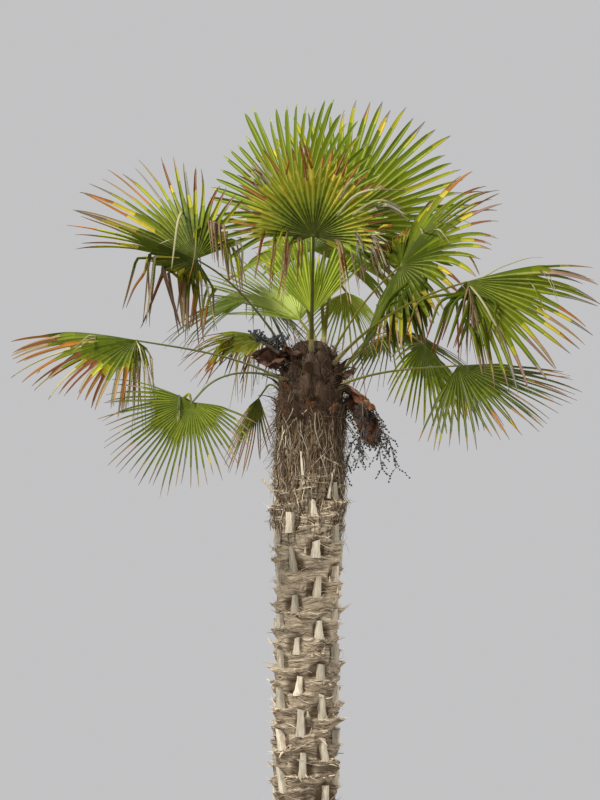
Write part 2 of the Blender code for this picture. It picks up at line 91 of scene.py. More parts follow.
# The leaf stalks and blades follow the solids' rule.
STALKS = {"front": "dark_stalk", "far_left": "dull_stalk", "low_left": "dull_stalk", "back_left": "dull_stalk",
          "upper_left": "dark_stalk", "hanging_left": "dull_stalk", "rear_left": "dull_stalk"}
STALK_SLIM = 0.88
STALK_FOOT_RADIUS = 0.0095
STALK_TIP_RADIUS = 0.0052
STALK_SWELL = 0.9
STALK_SUNK = 0.55
STRAIGHT_END = 0.02
COLLAR_LENGTH = 0.030
LEAVE_PULL = 0.35
ARRIVE_PULL = 0.30
SPLIT = 0.50
HANG_OUT = 0.2
PLEAT = 0.48
# One half of each pleat is painted a little darker and the other a little paler, as painted shade and light on the
# fold.
PLEAT_SHADE_SHIFT = 0.7  # the two halves of a pleat differ a little in tone
FOLDED_TONES = ("tan", "blush", "rust", "cream", "tan")
OUTER_SHORT = 0.22
SHORT_CURVE = 2.5
PULL = 1.6
WAY_STEPS = 24
LEVELS = (0.0, 0.08, 0.16, 0.24, 0.31, 0.38, 0.44, 0.50, 0.56, 0.63, 0.67, 0.70, 0.74, 0.77, 0.81, 0.85, 0.89,
          0.93, 0.96, 0.985, 1.0)

# Tones of the cut leaf bases, as parts of the colour set for them.
BASE_TONES = (("leaf_base", 1.0), ("leaf_base_dull", 0.88), ("leaf_base_brown", 0.68))

# Thicknesses of the thin shells; for a loose leaflet, the most that half of it can be.
LOOSE_DEPTH = 0.0032
SHEATH_THICK = 0.0022
LOBE_THICK = 0.0016
BRACT_THICK = 0.0014

# The fruit stalks.
STEM_STEPS = 6
STEM_RADIUS = 0.011
STEM_SUNK = 0.7
TWIGS_FROM = 0.35
BRACT_SIZE = (0.16, 0.055, 0.022)
BRACT_CURL = 0.25
GOLDEN_TURN = math.radians(137.5)
TWIG_RADIUS = 0.0026
SIDE_TWIG_RADIUS = 0.0011
SIDE_TWIGS = 14  # on each twig of a fruit stalk

DOWN = Vector((0.0, 0.0, -1.0))
UP = -DOWN

# A solid kept a leaflet where one of its corners is this near to the leaflet's rib.
FOUND_NEAR = 0.012
STUMP = SPLIT + 0.12  # what is left of a leaflet that its solid kept up to the split

# How the leaves are meshed.
SIDES = (0.25, 0.60)  # shares of a fan's spread between which its side leaflets get shorter
BLADE_SHARP = 24  # degrees from which the edges of a pleat are sharp
SIDE_BY_SIDE = 0.25  # share of a leaflet's length from which a bundle is spread over the blade
STALK_STEPS = 22
PALE_FOOT = 0.05  # length of a stalk's foot, which has its own tone
MARGIN = 1.12  # half width of a stalk, as a share of its radius
TOOTH = {"radius1": 0.0011, "radius2": 0.0001, "depth": 0.0042}

# The slots of the loose fibre's tones, and how the hanging shreds are dealt out to them.
WEATHERED, PALE, YOUNG, DARK, GREY = range(5)
SHRED_TONES = (WEATHERED, *(YOUNG,) * 10, *(GREY,) * 5, *(DARK,) * 4)
LIP_DROP = 0.008  # least step of the surface at a mat's upper edge
ROUGH_SEED = 5  # for the roughness of the cut leaf bases
LOBES = 64

# Socket kinds of a shader group, by how many numbers a value has.
SOCKETS = {1: "NodeSocketFloat", 3: "NodeSocketVector", 4: "NodeSocketColor"}

# The lamps of the stage: where each stands, its size and its power. They point at the crown.
CROWN = (0.0, 0.0, 2.5)
LAMPS = (("key", (-3.6, -3.6, 7.0), 1.8, 700), ("fill", (4.6, -5.4, 3.0), 3.5, 90), ("back", (1.5, 5.0, 6.0), 3.0, 300))


@dataclass(frozen=True)
class Look:
    """How a leaf has aged and is shaded: the tones of its leaflets, with painted shade near the hub and across the
    blade, and how far they have dried and narrowed.
    """

    # Where a chain starts dark at the hub, that dark is painted shade where the leaflets overlap; the paler and
    # yellower tones outwards are the leaves' own.
    chain: str  # tones from the hub outwards
    climb: tuple  # shares of a leaflet's length between which the chain is run through
    yellow: float  # chance that a leaflet yellows before it dries
    yellow_span: float
    dead: tuple  # least and most share of a leaflet's length that is dry
    dead_tones: str
    tip: str
    split: tuple = (0.44, 0.50, 0.56)  # where neighbours part
    slim: float = 1.0  # width of the free part
    taper: float = 3.0  # higher is blunter
    stray: float = 3.0  # degrees by which the free parts wander
    snapped: float = 0.0  # chance that a leaflet hangs from a fold
    patchy: float = 0.45  # how much leaflets differ in tone
    # Painted shade: the last leaflets are painted darker and the first ones paler, as shade and light across the blade.
    dusk: float = 0.0  # tones by which the last leaflets are darker than the middle ones
    side_reach: float = 1.0  # what is left of the length of the leaflets at the sides


LOOKS = {
    "fresh": Look("leaf leaf fresh fresh", (0.2, 1.0), 0.04, 0.2, (0.0, 0.04), "tan", "pale", (0.5, 0.56, 0.63),
         0.95, 7.0, 1.5, 0.0, 0.6),
    "golden": Look("moss leaf leaf fresh gold_green", (0.2, 1.0), 0.22, 0.3, (0.02, 0.14), "tan rust ashen", "ashen",
         (0.5, 0.56, 0.63), 0.85, 6.0, 1.5, 0.02, 0.7),
    "bright_right": Look("deep moss leaf lime gold_green", (0.2, 0.75), 0.25, 0.3, (0.02, 0.12), "tan rust ashen",
         "ashen", (0.38, 0.44, 0.5), 0.7, 5.0, 3.0, 0.02, 0.7),
    "front": Look("deep moss leaf lime gold_green gold_green yellow", (0.18, 0.78), 0.6, 0.32, (0.12, 0.36),
         "orange rust orange tan rust cream", "rust", (0.5, 0.56, 0.63), 0.8, 6.0, 4.5, 0.1, 0.8, side_reach=0.85),
    "worn_left": Look("deep moss olive leaf gold_green", (0.2, 0.72), 0.55, 0.28, (0.14, 0.42),
         "blush ashen rust tan orange", "ashen", (0.38, 0.44, 0.5), 0.72, 6.0, 5.5, 0.05, 0.8),
    "far_left": Look("deep moss moss olive leaf gold_green", (0.2, 0.8), 0.22, 0.25, (0.3, 0.56),
         "orange tan blush rust cream tan", "blush", (0.44, 0.5, 0.56), 0.75, 6.0, 5.0, 0.05, 0.8),
    "worn_right": Look("deep moss olive leaf olive gold_green", (0.2, 0.92), 0.52, 0.28, (0.08, 0.32),
         "orange tan rust blush", "ashen", (0.44, 0.5, 0.56, 0.63), 0.8, 5.0, 4.0, 0.06, 0.8, 1.2),
    "far_right": Look("moss olive leaf leaf grey_green", (0.2, 0.9), 0.42, 0.25, (0.14, 0.4),
         "blush orange tan ashen", "ashen", (0.44, 0.5, 0.56), 0.7, 5.0, 4.5, 0.08, 0.8),
    "grey_right": Look("deep deep moss grey_green grey_green", (0.15, 0.85), 0.2, 0.2, (0.12, 0.36),
         "blush ashen tan orange", "ashen", (0.38, 0.44, 0.5), 0.62, 5.0, 5.0, 0.05, 0.8),
    "pale_heart": Look("lime pale_green pale_green lime", (0.1, 0.9), 0.05, 0.2, (0.0, 0.08), "tan", "pale",
         (0.38, 0.44, 0.5), 0.7, 4.0, 3.0, 0.0, 0.8),
    "heart": Look("lime leaf fresh lime", (0.1, 0.95), 0.1, 0.2, (0.0, 0.06), "tan", "tan", (0.5, 0.56, 0.63), 0.8,
         5.0, 1.5, 0.0, 0.9),
    "ragged": Look("deep moss grey_green grey_green", (0.1, 0.8), 0.1, 0.25, (0.1, 0.45), "tan ashen ashen blush",
         "ashen", (0.31, 0.38, 0.44), 0.38, 4.0, 10.0, 0.15, 0.8),
    "low": Look("moss moss olive moss grey_green", (0.1, 0.9), 0.15, 0.15, (0.1, 0.32), "blush tan ashen", "blush",
         (0.38, 0.44), 0.64, 5.0, 3.5, 0.03, 0.8),
    "bright_back": Look("lime lime lime pale_green", (0.1, 0.9), 0.3, 0.2, (0.02, 0.25), "tan orange", "tan",
         (0.24, 0.31, 0.38), 0.55, 4.0, 5.0, 0.05, 1.0),
    # The drying leaf hangs in the crown's shade, and its bright tones are partly painted light; its yellowing and dry
    # tips are its own.
    "drying": Look("lime gold_green pale_green gold_green", (0.1, 0.7), 0.5, 0.3, (0.25, 0.55),
         "rust orange tan blush", "ashen", (0.31, 0.38, 0.44), 0.6, 3.0, 7.0, 0.12, 0.8),
    "dangling": Look("moss olive leaf gold_green", (0.1, 0.7), 0.4, 0.25, (0.3, 0.7), "rust orange tan blush",
         "ashen", (0.24, 0.31, 0.38), 0.9, 4.0, 7.0, 0.12, 0.8),
}


@dataclass(frozen=True)
class Frond:
    """One leaf, with the same place and shape as its solid, and its look."""

    name: str
    hub: tuple
    foot: tuple
    aim: float
    rise: float
    roll: float
    radius: float
    spread: float
    fold: float
    droop: float
    leaflets: int
    look: str
    creased: tuple = ()
    hang: tuple = (0.40, 0.65)  # shares of a creased leaflet's length between which it folds
    arch: float = 0.35


FRONDS = (
    Frond("top_left", (-0.015, 0.10, 3.07), (75, 2.54), 95, 100, -42, 0.475, 112, -4, 0.08, 20, "fresh"),
    Frond("top_right", (0.137, 0.27, 3.09), (28, 2.52), 5, 58, 64, 0.547, 112, 0, 0.06, 20, "golden"),
    Frond("front", (0.037, -0.42, 2.917), (-90, 2.52), -88, 48, -8, 0.40, 112, 14, 0.04, 20, "front",
          ((-112, -92), (92, 112)), (0.18, 0.42)),
    Frond("upper_left", (-0.393, -0.10, 2.891), (176, 2.50), 196, 23, -118, 0.505, 130, 55, 0.24, 22,
          "worn_left", ((-130, -40), (108, 130)), (0.40, 0.60)),
    Frond("heart_left", (-0.011, 0.16, 2.70), (130, 2.53), 143, 40, -20, 0.43, 62, 0, 0.14, 14, "pale_heart"),
    Frond("heart", (0.035, 0.00, 2.70), (-60, 2.57), 80, 84, 0, 0.40, 46, 0, 0.05, 12, "heart"),
    Frond("far_left", (-0.612, -0.10, 2.590), (-168, 2.43), 172, 8, -4, 0.49, 125, 30, 0.46, 20,
          "far_left", ((92, 125), (-125, -100)), (0.14, 0.30)),
    Frond("low_left", (-0.390, -0.38, 2.333), (-150, 2.44), -156, -57, -44, 0.372, 102, -6, 0.22, 20, "low",
          ((96, 102),), (0.10, 0.2)),
    Frond("back_left", (-0.15, 0.22, 2.645), (140, 2.46), 160, 12, -20, 0.36, 90, 30, 0.90, 15, "drying",
          ((40, 90), (-90, -50)), (0.3, 0.6)),
    Frond("hanging_left", (-0.165, 0.10, 2.40), (160, 2.34), 168, -68, 10, 0.32, 60, 10, 0.10, 10, "dangling"),
    Frond("upper_right", (0.357, -0.10, 2.865), (-12, 2.51), -36, 28, 54, 0.483, 132, 0, 0.50, 22,
          "worn_right"),
    Frond("far_right", (0.572, -0.46, 2.748), (-25, 2.48), -2, 13, 36, 0.49, 110, 43, 0.42, 20, "far_right",
          ((84, 110), (-110, -80)), (0.2, 0.5)),
    Frond("low_right", (0.554, -0.26, 2.477), (-42, 2.40), -24, -2, 12, 0.445, 106, 43, 0.14, 20,
          "grey_right"),
    Frond("mid_right", (0.456, 0.12, 2.605), (14, 2.44), 14, -46, 32, 0.37, 105, 34, 0.34, 17, "bright_right"),
    Frond("back_right", (0.17, 0.36, 2.84), (58, 2.44), 62, -40, 0, 0.34, 90, 30, 0.40, 14, "bright_back"),
    Frond("back_low", (0.05, 0.40, 2.48), (92, 2.31), 92, -38, 0, 0.40, 80, 35, 0.30, 14, "ragged"),
    Frond("rear_left", (-0.20, 0.62, 2.86), (118, 2.40), 112, 14, 0, 0.46, 120, 25, 0.50, 19, "ragged",
          ((90, 120),)),
    Frond("rear_right", (0.36, 0.60, 2.72), (24, 2.36), 56, 4, 0, 0.46, 120, 30, 0.50, 19, "ragged",
          ((-120, -90),)),
    Frond("rear_top", (0.04, 0.66, 3.06), (92, 2.50), 88, 34, 0, 0.46, 118, 18, 0.40, 19, "golden"),
)


@dataclass(frozen=True)
class Loose:
    """A dead or broken leaflet that still holds to a blade, or a bundle of them."""

    angle: float  # degrees from the middle leaflet to where it holds
    share: float  # of that leaflet's length
    bends: tuple  # its next places, to the right and up from where it holds
    width: float
    tones: str  # from its foot to its tip
    count: int = 1
    scatter: float = 0.0
    toward: float = 0.04  # how far it comes to the front


LOOSE = {
    "upper_left": (
        Loose(60, 0.42, ((0.006, 0.012), (-0.006, -0.02), (-0.033, -0.234)), 0.011, "cream", toward=0.12),
        Loose(92, 0.46, ((0.01, 0.004), (0.03, -0.18)), 0.009, "blush tan blush", 9, 0.034, 0.1),
        Loose(20, 0.21, ((-0.051, -0.022),), 0.004, "cream", toward=0.05),
        Loose(76, 0.29, ((0.004, -0.089), (-0.004, -0.149), (-0.026, -0.23)), 0.005, "gold_green tan orange",
              toward=0.12),
        Loose(-50, 0.45, ((-0.007, -0.067), (-0.048, -0.12), (-0.078, -0.2)), 0.011, "yellow orange blush"),
        Loose(-96, 0.4, ((-0.004, -0.05), (-0.006, -0.24)), 0.013, "olive blush tan", 3, 0.04),
        Loose(-118, 0.5, ((-0.01, -0.05), (-0.03, -0.19)), 0.012, "gold_green orange blush", 6, 0.12, 0.05),
        Loose(124, 0.45, ((0.01, -0.05), (0.03, -0.19)), 0.011, "olive gold_green blush", 6, 0.12, 0.05),
    ),
    "front": (
        Loose(-40, 0.33, ((0.045, 0.045), (0.115, 0.07), (0.233, 0.066)), 0.009, "cream cream blush", toward=0.11),
        Loose(-52, 0.46, ((0.049, 0.028), (0.104, 0.042), (0.174, 0.007), (0.167, -0.021)), 0.007,
              "cream pale ashen", 3, 0.018, 0.09),
        Loose(-28, 0.5, ((0.035, 0.048), (0.09, 0.093)), 0.009, "cream pale", toward=0.08),
        Loose(-20, 0.62, ((0.02, 0.03), (0.03, 0.1)), 0.008, "yellow rust", 3, 0.06, 0.05),
        Loose(12, 0.7, ((-0.006, 0.04), (-0.02, 0.1)), 0.008, "orange rust", 4, 0.1, 0.04),
        Loose(34, 0.7, ((-0.03, 0.03), (-0.07, 0.06)), 0.008, "cream rust", 4, 0.08, 0.04),
        Loose(-54, 0.71, ((0.048, -0.007), (0.11, -0.041)), 0.005, "ashen cream", 6, 0.026, 0.05),
        Loose(-70, 0.68, ((0.055, 0.007),), 0.009, "yellow orange", 3, 0.02, 0.06),
        Loose(84, 0.16, ((-0.004, -0.03), (-0.01, -0.2)), 0.008, "tan rust blush", 3, 0.02),
        Loose(84, 0.27, ((0.0, -0.02), (-0.012, -0.2)), 0.0075, "tan rust blush", 4, 0.03),
        Loose(86, 0.38, ((-0.004, -0.02), (-0.02, -0.21)), 0.007, "olive tan rust", 4, 0.03),
        Loose(86, 0.5, ((-0.006, -0.03), (-0.03, -0.17)), 0.006, "rust tan blush", 3, 0.03),
        Loose(70, 0.3, ((-0.02, -0.07), (-0.055, -0.16)), 0.006, "gold_green tan orange", 2, 0.012),
        Loose(-84, 0.22, ((0.02, -0.02), (0.05, -0.19)), 0.013, "tan rust blush", 3, 0.012),
        Loose(-80, 0.6, ((0.02, -0.04), (0.05, -0.13)), 0.006, "ashen blush cream", 9, 0.07, 0.06),
        Loose(-86, 0.45, ((0.01, -0.05), (0.03, -0.15)), 0.006, "ashen grey_green blush", 8, 0.06, 0.05),
    ),
    "top_right": (
        Loose(60, 0.55, ((0.1, 0.02), (0.16, 0.016)), 0.003, "grey_green ashen", 2, 0.02),
    ),
    "upper_right": (
        Loose(-64, 0.42, ((0.008, -0.02), (0.026, -0.067)), 0.012, "pale cream", toward=0.08),
        Loose(-38, 0.33, ((0.052, -0.022), (0.092, -0.081)), 0.006, "tan cream", 2, 0.008, 0.16),
        Loose(-104, 0.46, ((0.06, -0.011),), 0.008, "orange rust", 3, 0.03),
        Loose(-38, 0.46, ((0.088, -0.059),), 0.003, "tan", toward=0.14),
        Loose(-16, 0.54, ((0.066, -0.029),), 0.003, "tan", toward=0.12),
        Loose(26, 0.79, ((0.035, -0.078),), 0.006, "rust tan", 2, 0.01),
        # These bundles hang under the blade; their dark greens are partly painted shade and partly their own tone.
        Loose(70, 0.42, ((0.02, -0.07), (0.05, -0.2)), 0.018, "deep moss olive tan", 10, 0.12, 0.05),
        Loose(95, 0.38, ((0.0, -0.08), (0.01, -0.21)), 0.018, "deep moss olive", 9, 0.12, 0.04),
        Loose(116, 0.34, ((-0.04, -0.07), (-0.11, -0.23)), 0.014, "moss olive leaf grey_green", 12, 0.12, 0.03),
        Loose(-117, 0.35, ((-0.02, 0.02), (-0.09, 0.065)), 0.005, "blush cream", 7, 0.04, 0.12),
        Loose(-120, 0.4, ((0.0, -0.05), (0.01, -0.12)), 0.006, "blush tan", 5, 0.04, 0.08),
    ),
    "far_right": (
        Loose(68, 0.04, ((0.042, -0.084), (0.049, -0.112), (0.105, -0.21), (0.14, -0.328)), 0.009,
              "cream cream blush blush", toward=0.12),
        Loose(82, 0.04, ((-0.003, -0.077), (-0.017, -0.244)), 0.006, "tan blush tan", 6, 0.03),
        Loose(82, 0.08, ((0.012, -0.08), (0.042, -0.293)), 0.006, "tan tan blush", 4, 0.03),
        Loose(0, 0.54, ((0.035, -0.091), (0.049, -0.133)), 0.005, "blush cream", 2, 0.03, 0.12),
        Loose(-28, 0.46, ((0.064, -0.142),), 0.007, "pale gold_green", toward=0.2),
        Loose(-10, 0.1, ((0.07, 0.04), (0.17, 0.075), (0.22, 0.075)), 0.005, "cream", toward=0.02),
        Loose(80, 0.1, ((-0.03, -0.04), (-0.09, -0.22)), 0.013, "moss olive rust", 9, 0.11),
        Loose(76, 0.3, ((0.0, -0.05), (0.03, -0.2)), 0.012, "olive leaf tan", 7, 0.1),
    ),
    # These leaflets hang in the crown's shade; their bright yellow tones are partly painted light and partly their own
    # dry tone.
    "back_left": (
        Loose(0, 0.34, ((-0.03, -0.03), (-0.09, -0.13)), 0.01, "gold_green gold_green orange", 8, 0.07, 0.08),
        Loose(10, 0.34, ((-0.03, -0.06), (-0.07, -0.17)), 0.009, "gold_green orange rust", 8, 0.14, 0.09),
    ),
    "far_left": (
        Loose(-1, 0.3, ((-0.03, -0.03), (-0.066, -0.059)), 0.005, "tan cream", 5, 0.1, 0.16),
        Loose(91, 0.04, ((0.029, -0.059), (0.048, -0.136)), 0.003, "ashen", 3, 0.015),
        Loose(88, 0.05, ((-0.005, -0.06), (-0.014, -0.29)), 0.007, "leaf gold_green gold_green orange tan", 7,
              0.036),
    ),
    "low_left": (
        Loose(94, 0.2, ((-0.004, -0.02), (-0.007, -0.141)), 0.006, "grey_green pale blush", 4, 0.018),
        Loose(94, 0.12, ((0.02, 0.012), (0.03, -0.03)), 0.01, "gold_green tan"),
    ),
}


@dataclass(frozen=True)
class Cluster:
    """One fruit stalk, with the same place and branching as its solid."""

    name: str
    foot: tuple
    lead: tuple
    reach: float
    sag: float
    twigs: int
    twig_length: float
    hang: float
    bracts: int
    seed: int
    berries: int  # on each side twig


CLUSTERS = (
    Cluster("right", (-4, 2.44), (1.0, -0.1, 0.2), 0.25, 2.6, 11, 0.17, 0.80, 3, 4, 5),
    Cluster("left", (202, 2.51), (-1.0, -0.35, 0.9), 0.15, 0.3, 8, 0.07, -0.45, 2, 8, 6),
)


@dataclass(frozen=True)
class Bract:
    """A papery bract on a fruit stalk: where it sits and where it points, in degrees."""

    cluster: str
    spot: int
    azimuth: float
    climb: float
    length: float
    turn: float
    old: bool


BRACTS = (
    Bract("right", 0, -25, 38, 0.095, 200, True),
    Bract("right", 0, -60, 15, 0.085, 120, True),
    Bract("right", 1, -12, -32, 0.125, 150, False),
    Bract("right", 2, -30, -28, 0.105, 190, False),
    Bract("right", 3, -70, -62, 0.120, 160, True),
    Bract("right", 3, -110, -75, 0.110, 210, True),
    Bract("right", 4, -40, -78, 0.120, 140, True),
    Bract("right", 5, -20, -80, 0.085, 170, False),
    Bract("right", 4, 190, -72, 0.100, 180, True),
    Bract("right", 5, 60, -70, 0.100, 0, True),
    Bract("left", 0, 240, 55, 0.085, 180, True),
    Bract("left", 1, 205, -8, 0.090, 200, True),
    Bract("left", 1, 270, 25, 0.085, 150, True),
    Bract("left", 2, 330, 10, 0.080, 170, True),
)


# Settings that a user would change.


def tint(name, description, default):
    return bpy.props.FloatVectorProperty(name=name, description=description, subtype="COLOR", size=3,
                                         min=0.0, max=1.0, default=default)


def length(name, description, default):
    return bpy.props.FloatProperty(name=name, description=description, default=default, min=0.0,
                                   subtype="DISTANCE", unit="LENGTH")


def share_of(name, description, default):
    return bpy.props.FloatProperty(name=name, description=description, default=default, min=0.0, max=4.0)


def number(name, description, default):
    return bpy.props.IntProperty(name=name, description=description, default=default, min=1)


class PALM_PG_leaves(bpy.types.PropertyGroup):
    """Tones and sizes of the leaves."""

    deep: tint("Deep green", "Shaded middle of an old blade", (0.062, 0.084, 0.003))
    moss: tint("Moss", "Between the shaded middle and the green leaflets", (0.100, 0.132, 0.005))
    olive: tint("Olive", "Older leaflets", (0.155, 0.176, 0.007))
    leaf: tint("Leaf green", "Grown leaflets", (0.175, 0.215, 0.008))
    fresh: tint("Fresh green", "Young leaflets", (0.165, 0.225, 0.014))
    lime: tint("Lime", "Yellowish young leaflets", (0.290, 0.345, 0.022))
    pale_green: tint("Pale green", "Undersides in the heart of the crown", (0.460, 0.540, 0.130))
    gold_green: tint("Gold green", "Leaflets that start to yellow", (0.360, 0.340, 0.018))
    grey_green: tint("Grey green", "Dull leaflets at the back", (0.135, 0.155, 0.050))
    yellow: tint("Yellow", "Zone before a dry tip", (0.560, 0.440, 0.040))
    orange: tint("Orange", "Fresh dry zone", (0.440, 0.170, 0.034))
    rust: tint("Rust", "Dry zone", (0.250, 0.085, 0.032))
    tan: tint("Tan", "Dry leaflets", (0.400, 0.265, 0.135))
    blush: tint("Blush", "Weathered dry zone", (0.330, 0.190, 0.140))
    ashen: tint("Ashen", "Oldest tips", (0.290, 0.250, 0.215))
    cream: tint("Cream", "Bleached leaflets", (0.600, 0.520, 0.320))
    pale: tint("Pale tip", "Tips of young leaflets", (0.400, 0.420, 0.160))
    finer: number("Leaflets per pleat", "Leaflets for each broad leaflet of the solids", 2)
    thick: length("Thickness", "Thickness of a leaflet", 0.0014)
    stalk: tint("Stalk", "Younger leaf stalks", (0.180, 0.165, 0.024))
    dull_stalk: tint("Dull stalk", "Older leaf stalks", (0.115, 0.128, 0.040))
    # This darkest stalk tone is dealt by leaf to the front and upper left stalks, not by their age.
    dark_stalk: tint("Dark stalk", "The oldest leaf stalks", (0.070, 0.066, 0.014))
    stalk_foot: tint("Stalk foot", "Foot of the leaf stalks", (0.260, 0.220, 0.090))


class PALM_PG_trunk(bpy.types.PropertyGroup):
    """Tones and sizes of the trunk."""

    fibre: tint("Fibre", "Weathered matted fibre", (0.750, 0.620, 0.440))
    crevice: tint("Crevice", "Shaded fibre", (0.085, 0.053, 0.028))
    shag: tint("Shag", "Younger fibre under the head", (0.250, 0.174, 0.098))
    head: tint("Head", "Dark fibre round the youngest stalks", (0.050, 0.029, 0.016))
    rusty: tint("Rusty sheath", "Torn sheath ends that are still young", (0.180, 0.080, 0.036))
    base: tint("Leaf base", "Sides of the cut leaf bases", (0.790, 0.690, 0.515))
    cut: tint("Cut", "Cut tops of the leaf bases", (0.330, 0.270, 0.190))
    sides: number("Sides", "Sides of the trunk's mesh", 184)
    ring: length("Ring height", "Height of one ring of the trunk's mesh", 0.0050)
    lip: length("Lip", "How far the matted fibre stands out at its upper edge", 0.025)
    lip_fall: length("Lip fall", "Height over which a lip dies away below its edge", 0.036)
    pocket: length("Pocket", "How far the fibre lies in above a lip", 0.013)
    threads: number("Threads", "Loose threads on the column", 2600)
    fringe: number("Fringe", "Fibre ends along the mats' edges", 2400)
    shreds: number("Shreds", "Hanging shreds under the head", 620)
    fuzz: number("Fuzz", "Short hairs on the head", 2600)


class PALM_PG_fruit(bpy.types.PropertyGroup):
    """Tones and sizes of the fruit stalks."""

    stem: tint("Stem", "Fruit stalks", (0.150, 0.120, 0.080))
    berry: tint("Berry", "Ripe berries", (0.022, 0.023, 0.026))
    bloom: tint("Bloom", "Waxy bloom on the berries", (0.070, 0.074, 0.076))
    bract: tint("Bract", "Papery bracts", (0.260, 0.105, 0.045))
    old_bract: tint("Old bract", "Weathered bracts", (0.110, 0.055, 0.032))
    berry_size: length("Berry size", "Radius of a berry", 0.0040)
    bract_length: share_of("Bract length", "Length of the bracts, as a share of the solids'", 0.75)


class PALM_PG_stage(bpy.types.PropertyGroup):
    """The floor, the light and the camera."""

    floor: tint("Floor", "Pale floor", (0.52, 0.512, 0.50))
    sky: tint("Surroundings", "Soft light from all round", (0.97, 0.97, 0.985))
    sky_power: share_of("Surroundings' strength", "Strength of the light from all round", 0.56)
    floor_radius: length("Floor radius", "Radius of the round floor", 9.0)
    camera_away: length("Camera distance", "How far the camera stands in front of the trunk", 7.5)
    camera_height: length("Camera height", "Eye height", 1.6)
    aim_height: length("Aim", "Height at the middle of the picture", 2.38)
    aim_right: length("Aim aside", "How far the picture's middle is to the trunk's side", 0.011)
    lens: bpy.props.FloatProperty(name="Lens", description="Focal length in millimetres", default=91.7)


# Small helpers.


def smooth(low, high, value):
    part = min(1.0, max(0.0, (value - low) / (high - low)))
    return part * part * (3 - 2 * part)


def smooth_array(low, high, values):
    part = np.clip((values - low) / (high - low), 0.0, 1.0)
    return part * part * (3 - 2 * part)


def toned(color, part):
    """A colour made darker, or paler where part is above 1."""
    return [c * part for c in color]


def outward(azimuth):
    """The unit way that leads off the trunk's axis."""
    return math.cos(azimuth), math.sin(azimuth), 0.0


def aimed(place, heading):
    """The matrix that sets a form made along +Z at a place and along a heading."""
    return Matrix.Translation(place) @ heading.to_track_quat("Z", "Y").to_matrix().to_4x4()


def painted(verts, slot):
    """The faces at some corners get a material slot."""
    for face in {face for vert in verts for face in vert.link_faces}:
        face.material_index = slot


def sheet(bm, columns, rows, slot=0):
    """The corners of a new grid, each with its place across it, from -1 to 1, and up it, from 0 to 1."""
    grid = bmesh.ops.create_grid(bm, x_segments=columns, y_segments=rows, size=1.0)["verts"]
    painted(grid, slot)
    return [(vert, vert.co.x, (vert.co.y + 1) / 2) for vert in grid]


def add_piece(name, mesh, finishes, slot, *nodes):
    """A finished mesh, on the frame and in place of its solids."""
    piece = bpy.data.objects.new(name, mesh)
    bpy.context.scene.collection.objects.link(piece)
    for finish in finishes:
        mesh.materials.append(finish)
    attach(piece, "root")
    if nodes:
        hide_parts(*nodes)
    return piece


def mesh_from(bm, name, round_angle=None):
    """A mesh of what was made; with an angle its faces are turned outward, and smooth up to that angle."""
    if round_angle:
        bmesh.ops.recalc_face_normals(bm, faces=bm.faces)
    mesh = bpy.data.meshes.new(name)
    bm.to_mesh(mesh)
    bm.free()
    if round_angle:
        mesh.shade_smooth()
        mesh.set_sharp_from_angle(angle=math.radians(round_angle))
    return mesh


def thickened(piece, thickness):
    """A sheet is made a thin closed shell, and the modifier is made part of its mesh."""
    thick = piece.modifiers.new("thickness", "SOLIDIFY")
    thick.thickness = thickness
    thick.offset = 0.0
    bpy.context.view_layer.update()
    graph = bpy.context.evaluated_depsgraph_get()
    made = bpy.data.meshes.new_from_object(piece.evaluated_get(graph))
    made.name = piece.name
    piece.modifiers.clear()
    piece.data = made


# Ways of the trunk, the stalks and the leaflets, as the solids follow them.


def trunk_axis(height):
    part = height / TRUNK_HEIGHT
    return Vector((TRUNK_LEAN * max(0.0, part) ** LEAN_CURVE, 0.0, height))


def trunk_radius(height):
    column = COLUMN_RADIUS + FLARE * math.exp(-height / FLARE_FALL)
    column += SHOULDER * smooth(SHOULDER_FOOT, SHOULDER_TOP, height)
    if height <= HEAD_FOOT:
        return column
    part = min(1.0, (height - HEAD_FOOT) / (TRUNK_HEIGHT - HEAD_FOOT))
    return TIP_RADIUS + (column - TIP_RADIUS) * math.sqrt(max(0.0, 1 - part**3))


def blade_axes(frond):
    """Unit vectors along the middle leaflet, across the blade, and out of its upper face."""
    aim, rise = math.radians(frond.aim), math.radians(frond.rise)
    along = Vector((math.cos(aim) * math.cos(rise), math.sin(aim) * math.cos(rise), math.sin(rise)))
    side = Vector(outward(aim)).cross(UP)
    side = Matrix.Rotation(math.radians(frond.roll), 3, along) @ side
    return along, side, side.cross(along)


def rooted(foot, sunk):
    """Where a stalk starts in the trunk: its foot is an azimuth in degrees and a height."""
    azimuth, height = math.radians(foot[0]), foot[1]
    return trunk_axis(height) + Vector(outward(azimuth)) * trunk_radius(height) * sunk


def joint(frond):
    """Where a leaf stalk starts, where it ends, and its heading there."""
    along = blade_axes(frond)[0]
    start = rooted(frond.foot, STALK_SUNK)
    chord = (Vector(frond.hub) - start).normalized()
    arrive = (chord * 0.3 + along).normalized()
    return start, Vector(frond.hub) - arrive * COLLAR_LENGTH, arrive


def stalk_way(frond, steps):
    start, end, arrive = joint(frond)
    straight = end - arrive * STRAIGHT_END
    chord = straight - start
    leave = (chord.normalized() + Vector((0, 0, frond.arch))).normalized()
    reach = chord.length
    curve = interpolate_bezier(start, start + leave * reach * LEAVE_PULL,
                               straight - arrive * reach * ARRIVE_PULL, straight, steps + 1)
    return [*curve, end, Vector(frond.hub)]


@dataclass(frozen=True)
class Leaflet:
    """A leaflet: its place in the fan, its length, and how it bends."""

    angle: float
    length: float
    droop: float
    crease: float = 2.0  # share of its length at which it folds and hangs, above 1 for none
    sway: float = 0.0  # sideways bend
    twist: float = 0.0
    kept: float = 1.0  # share of the length that is left


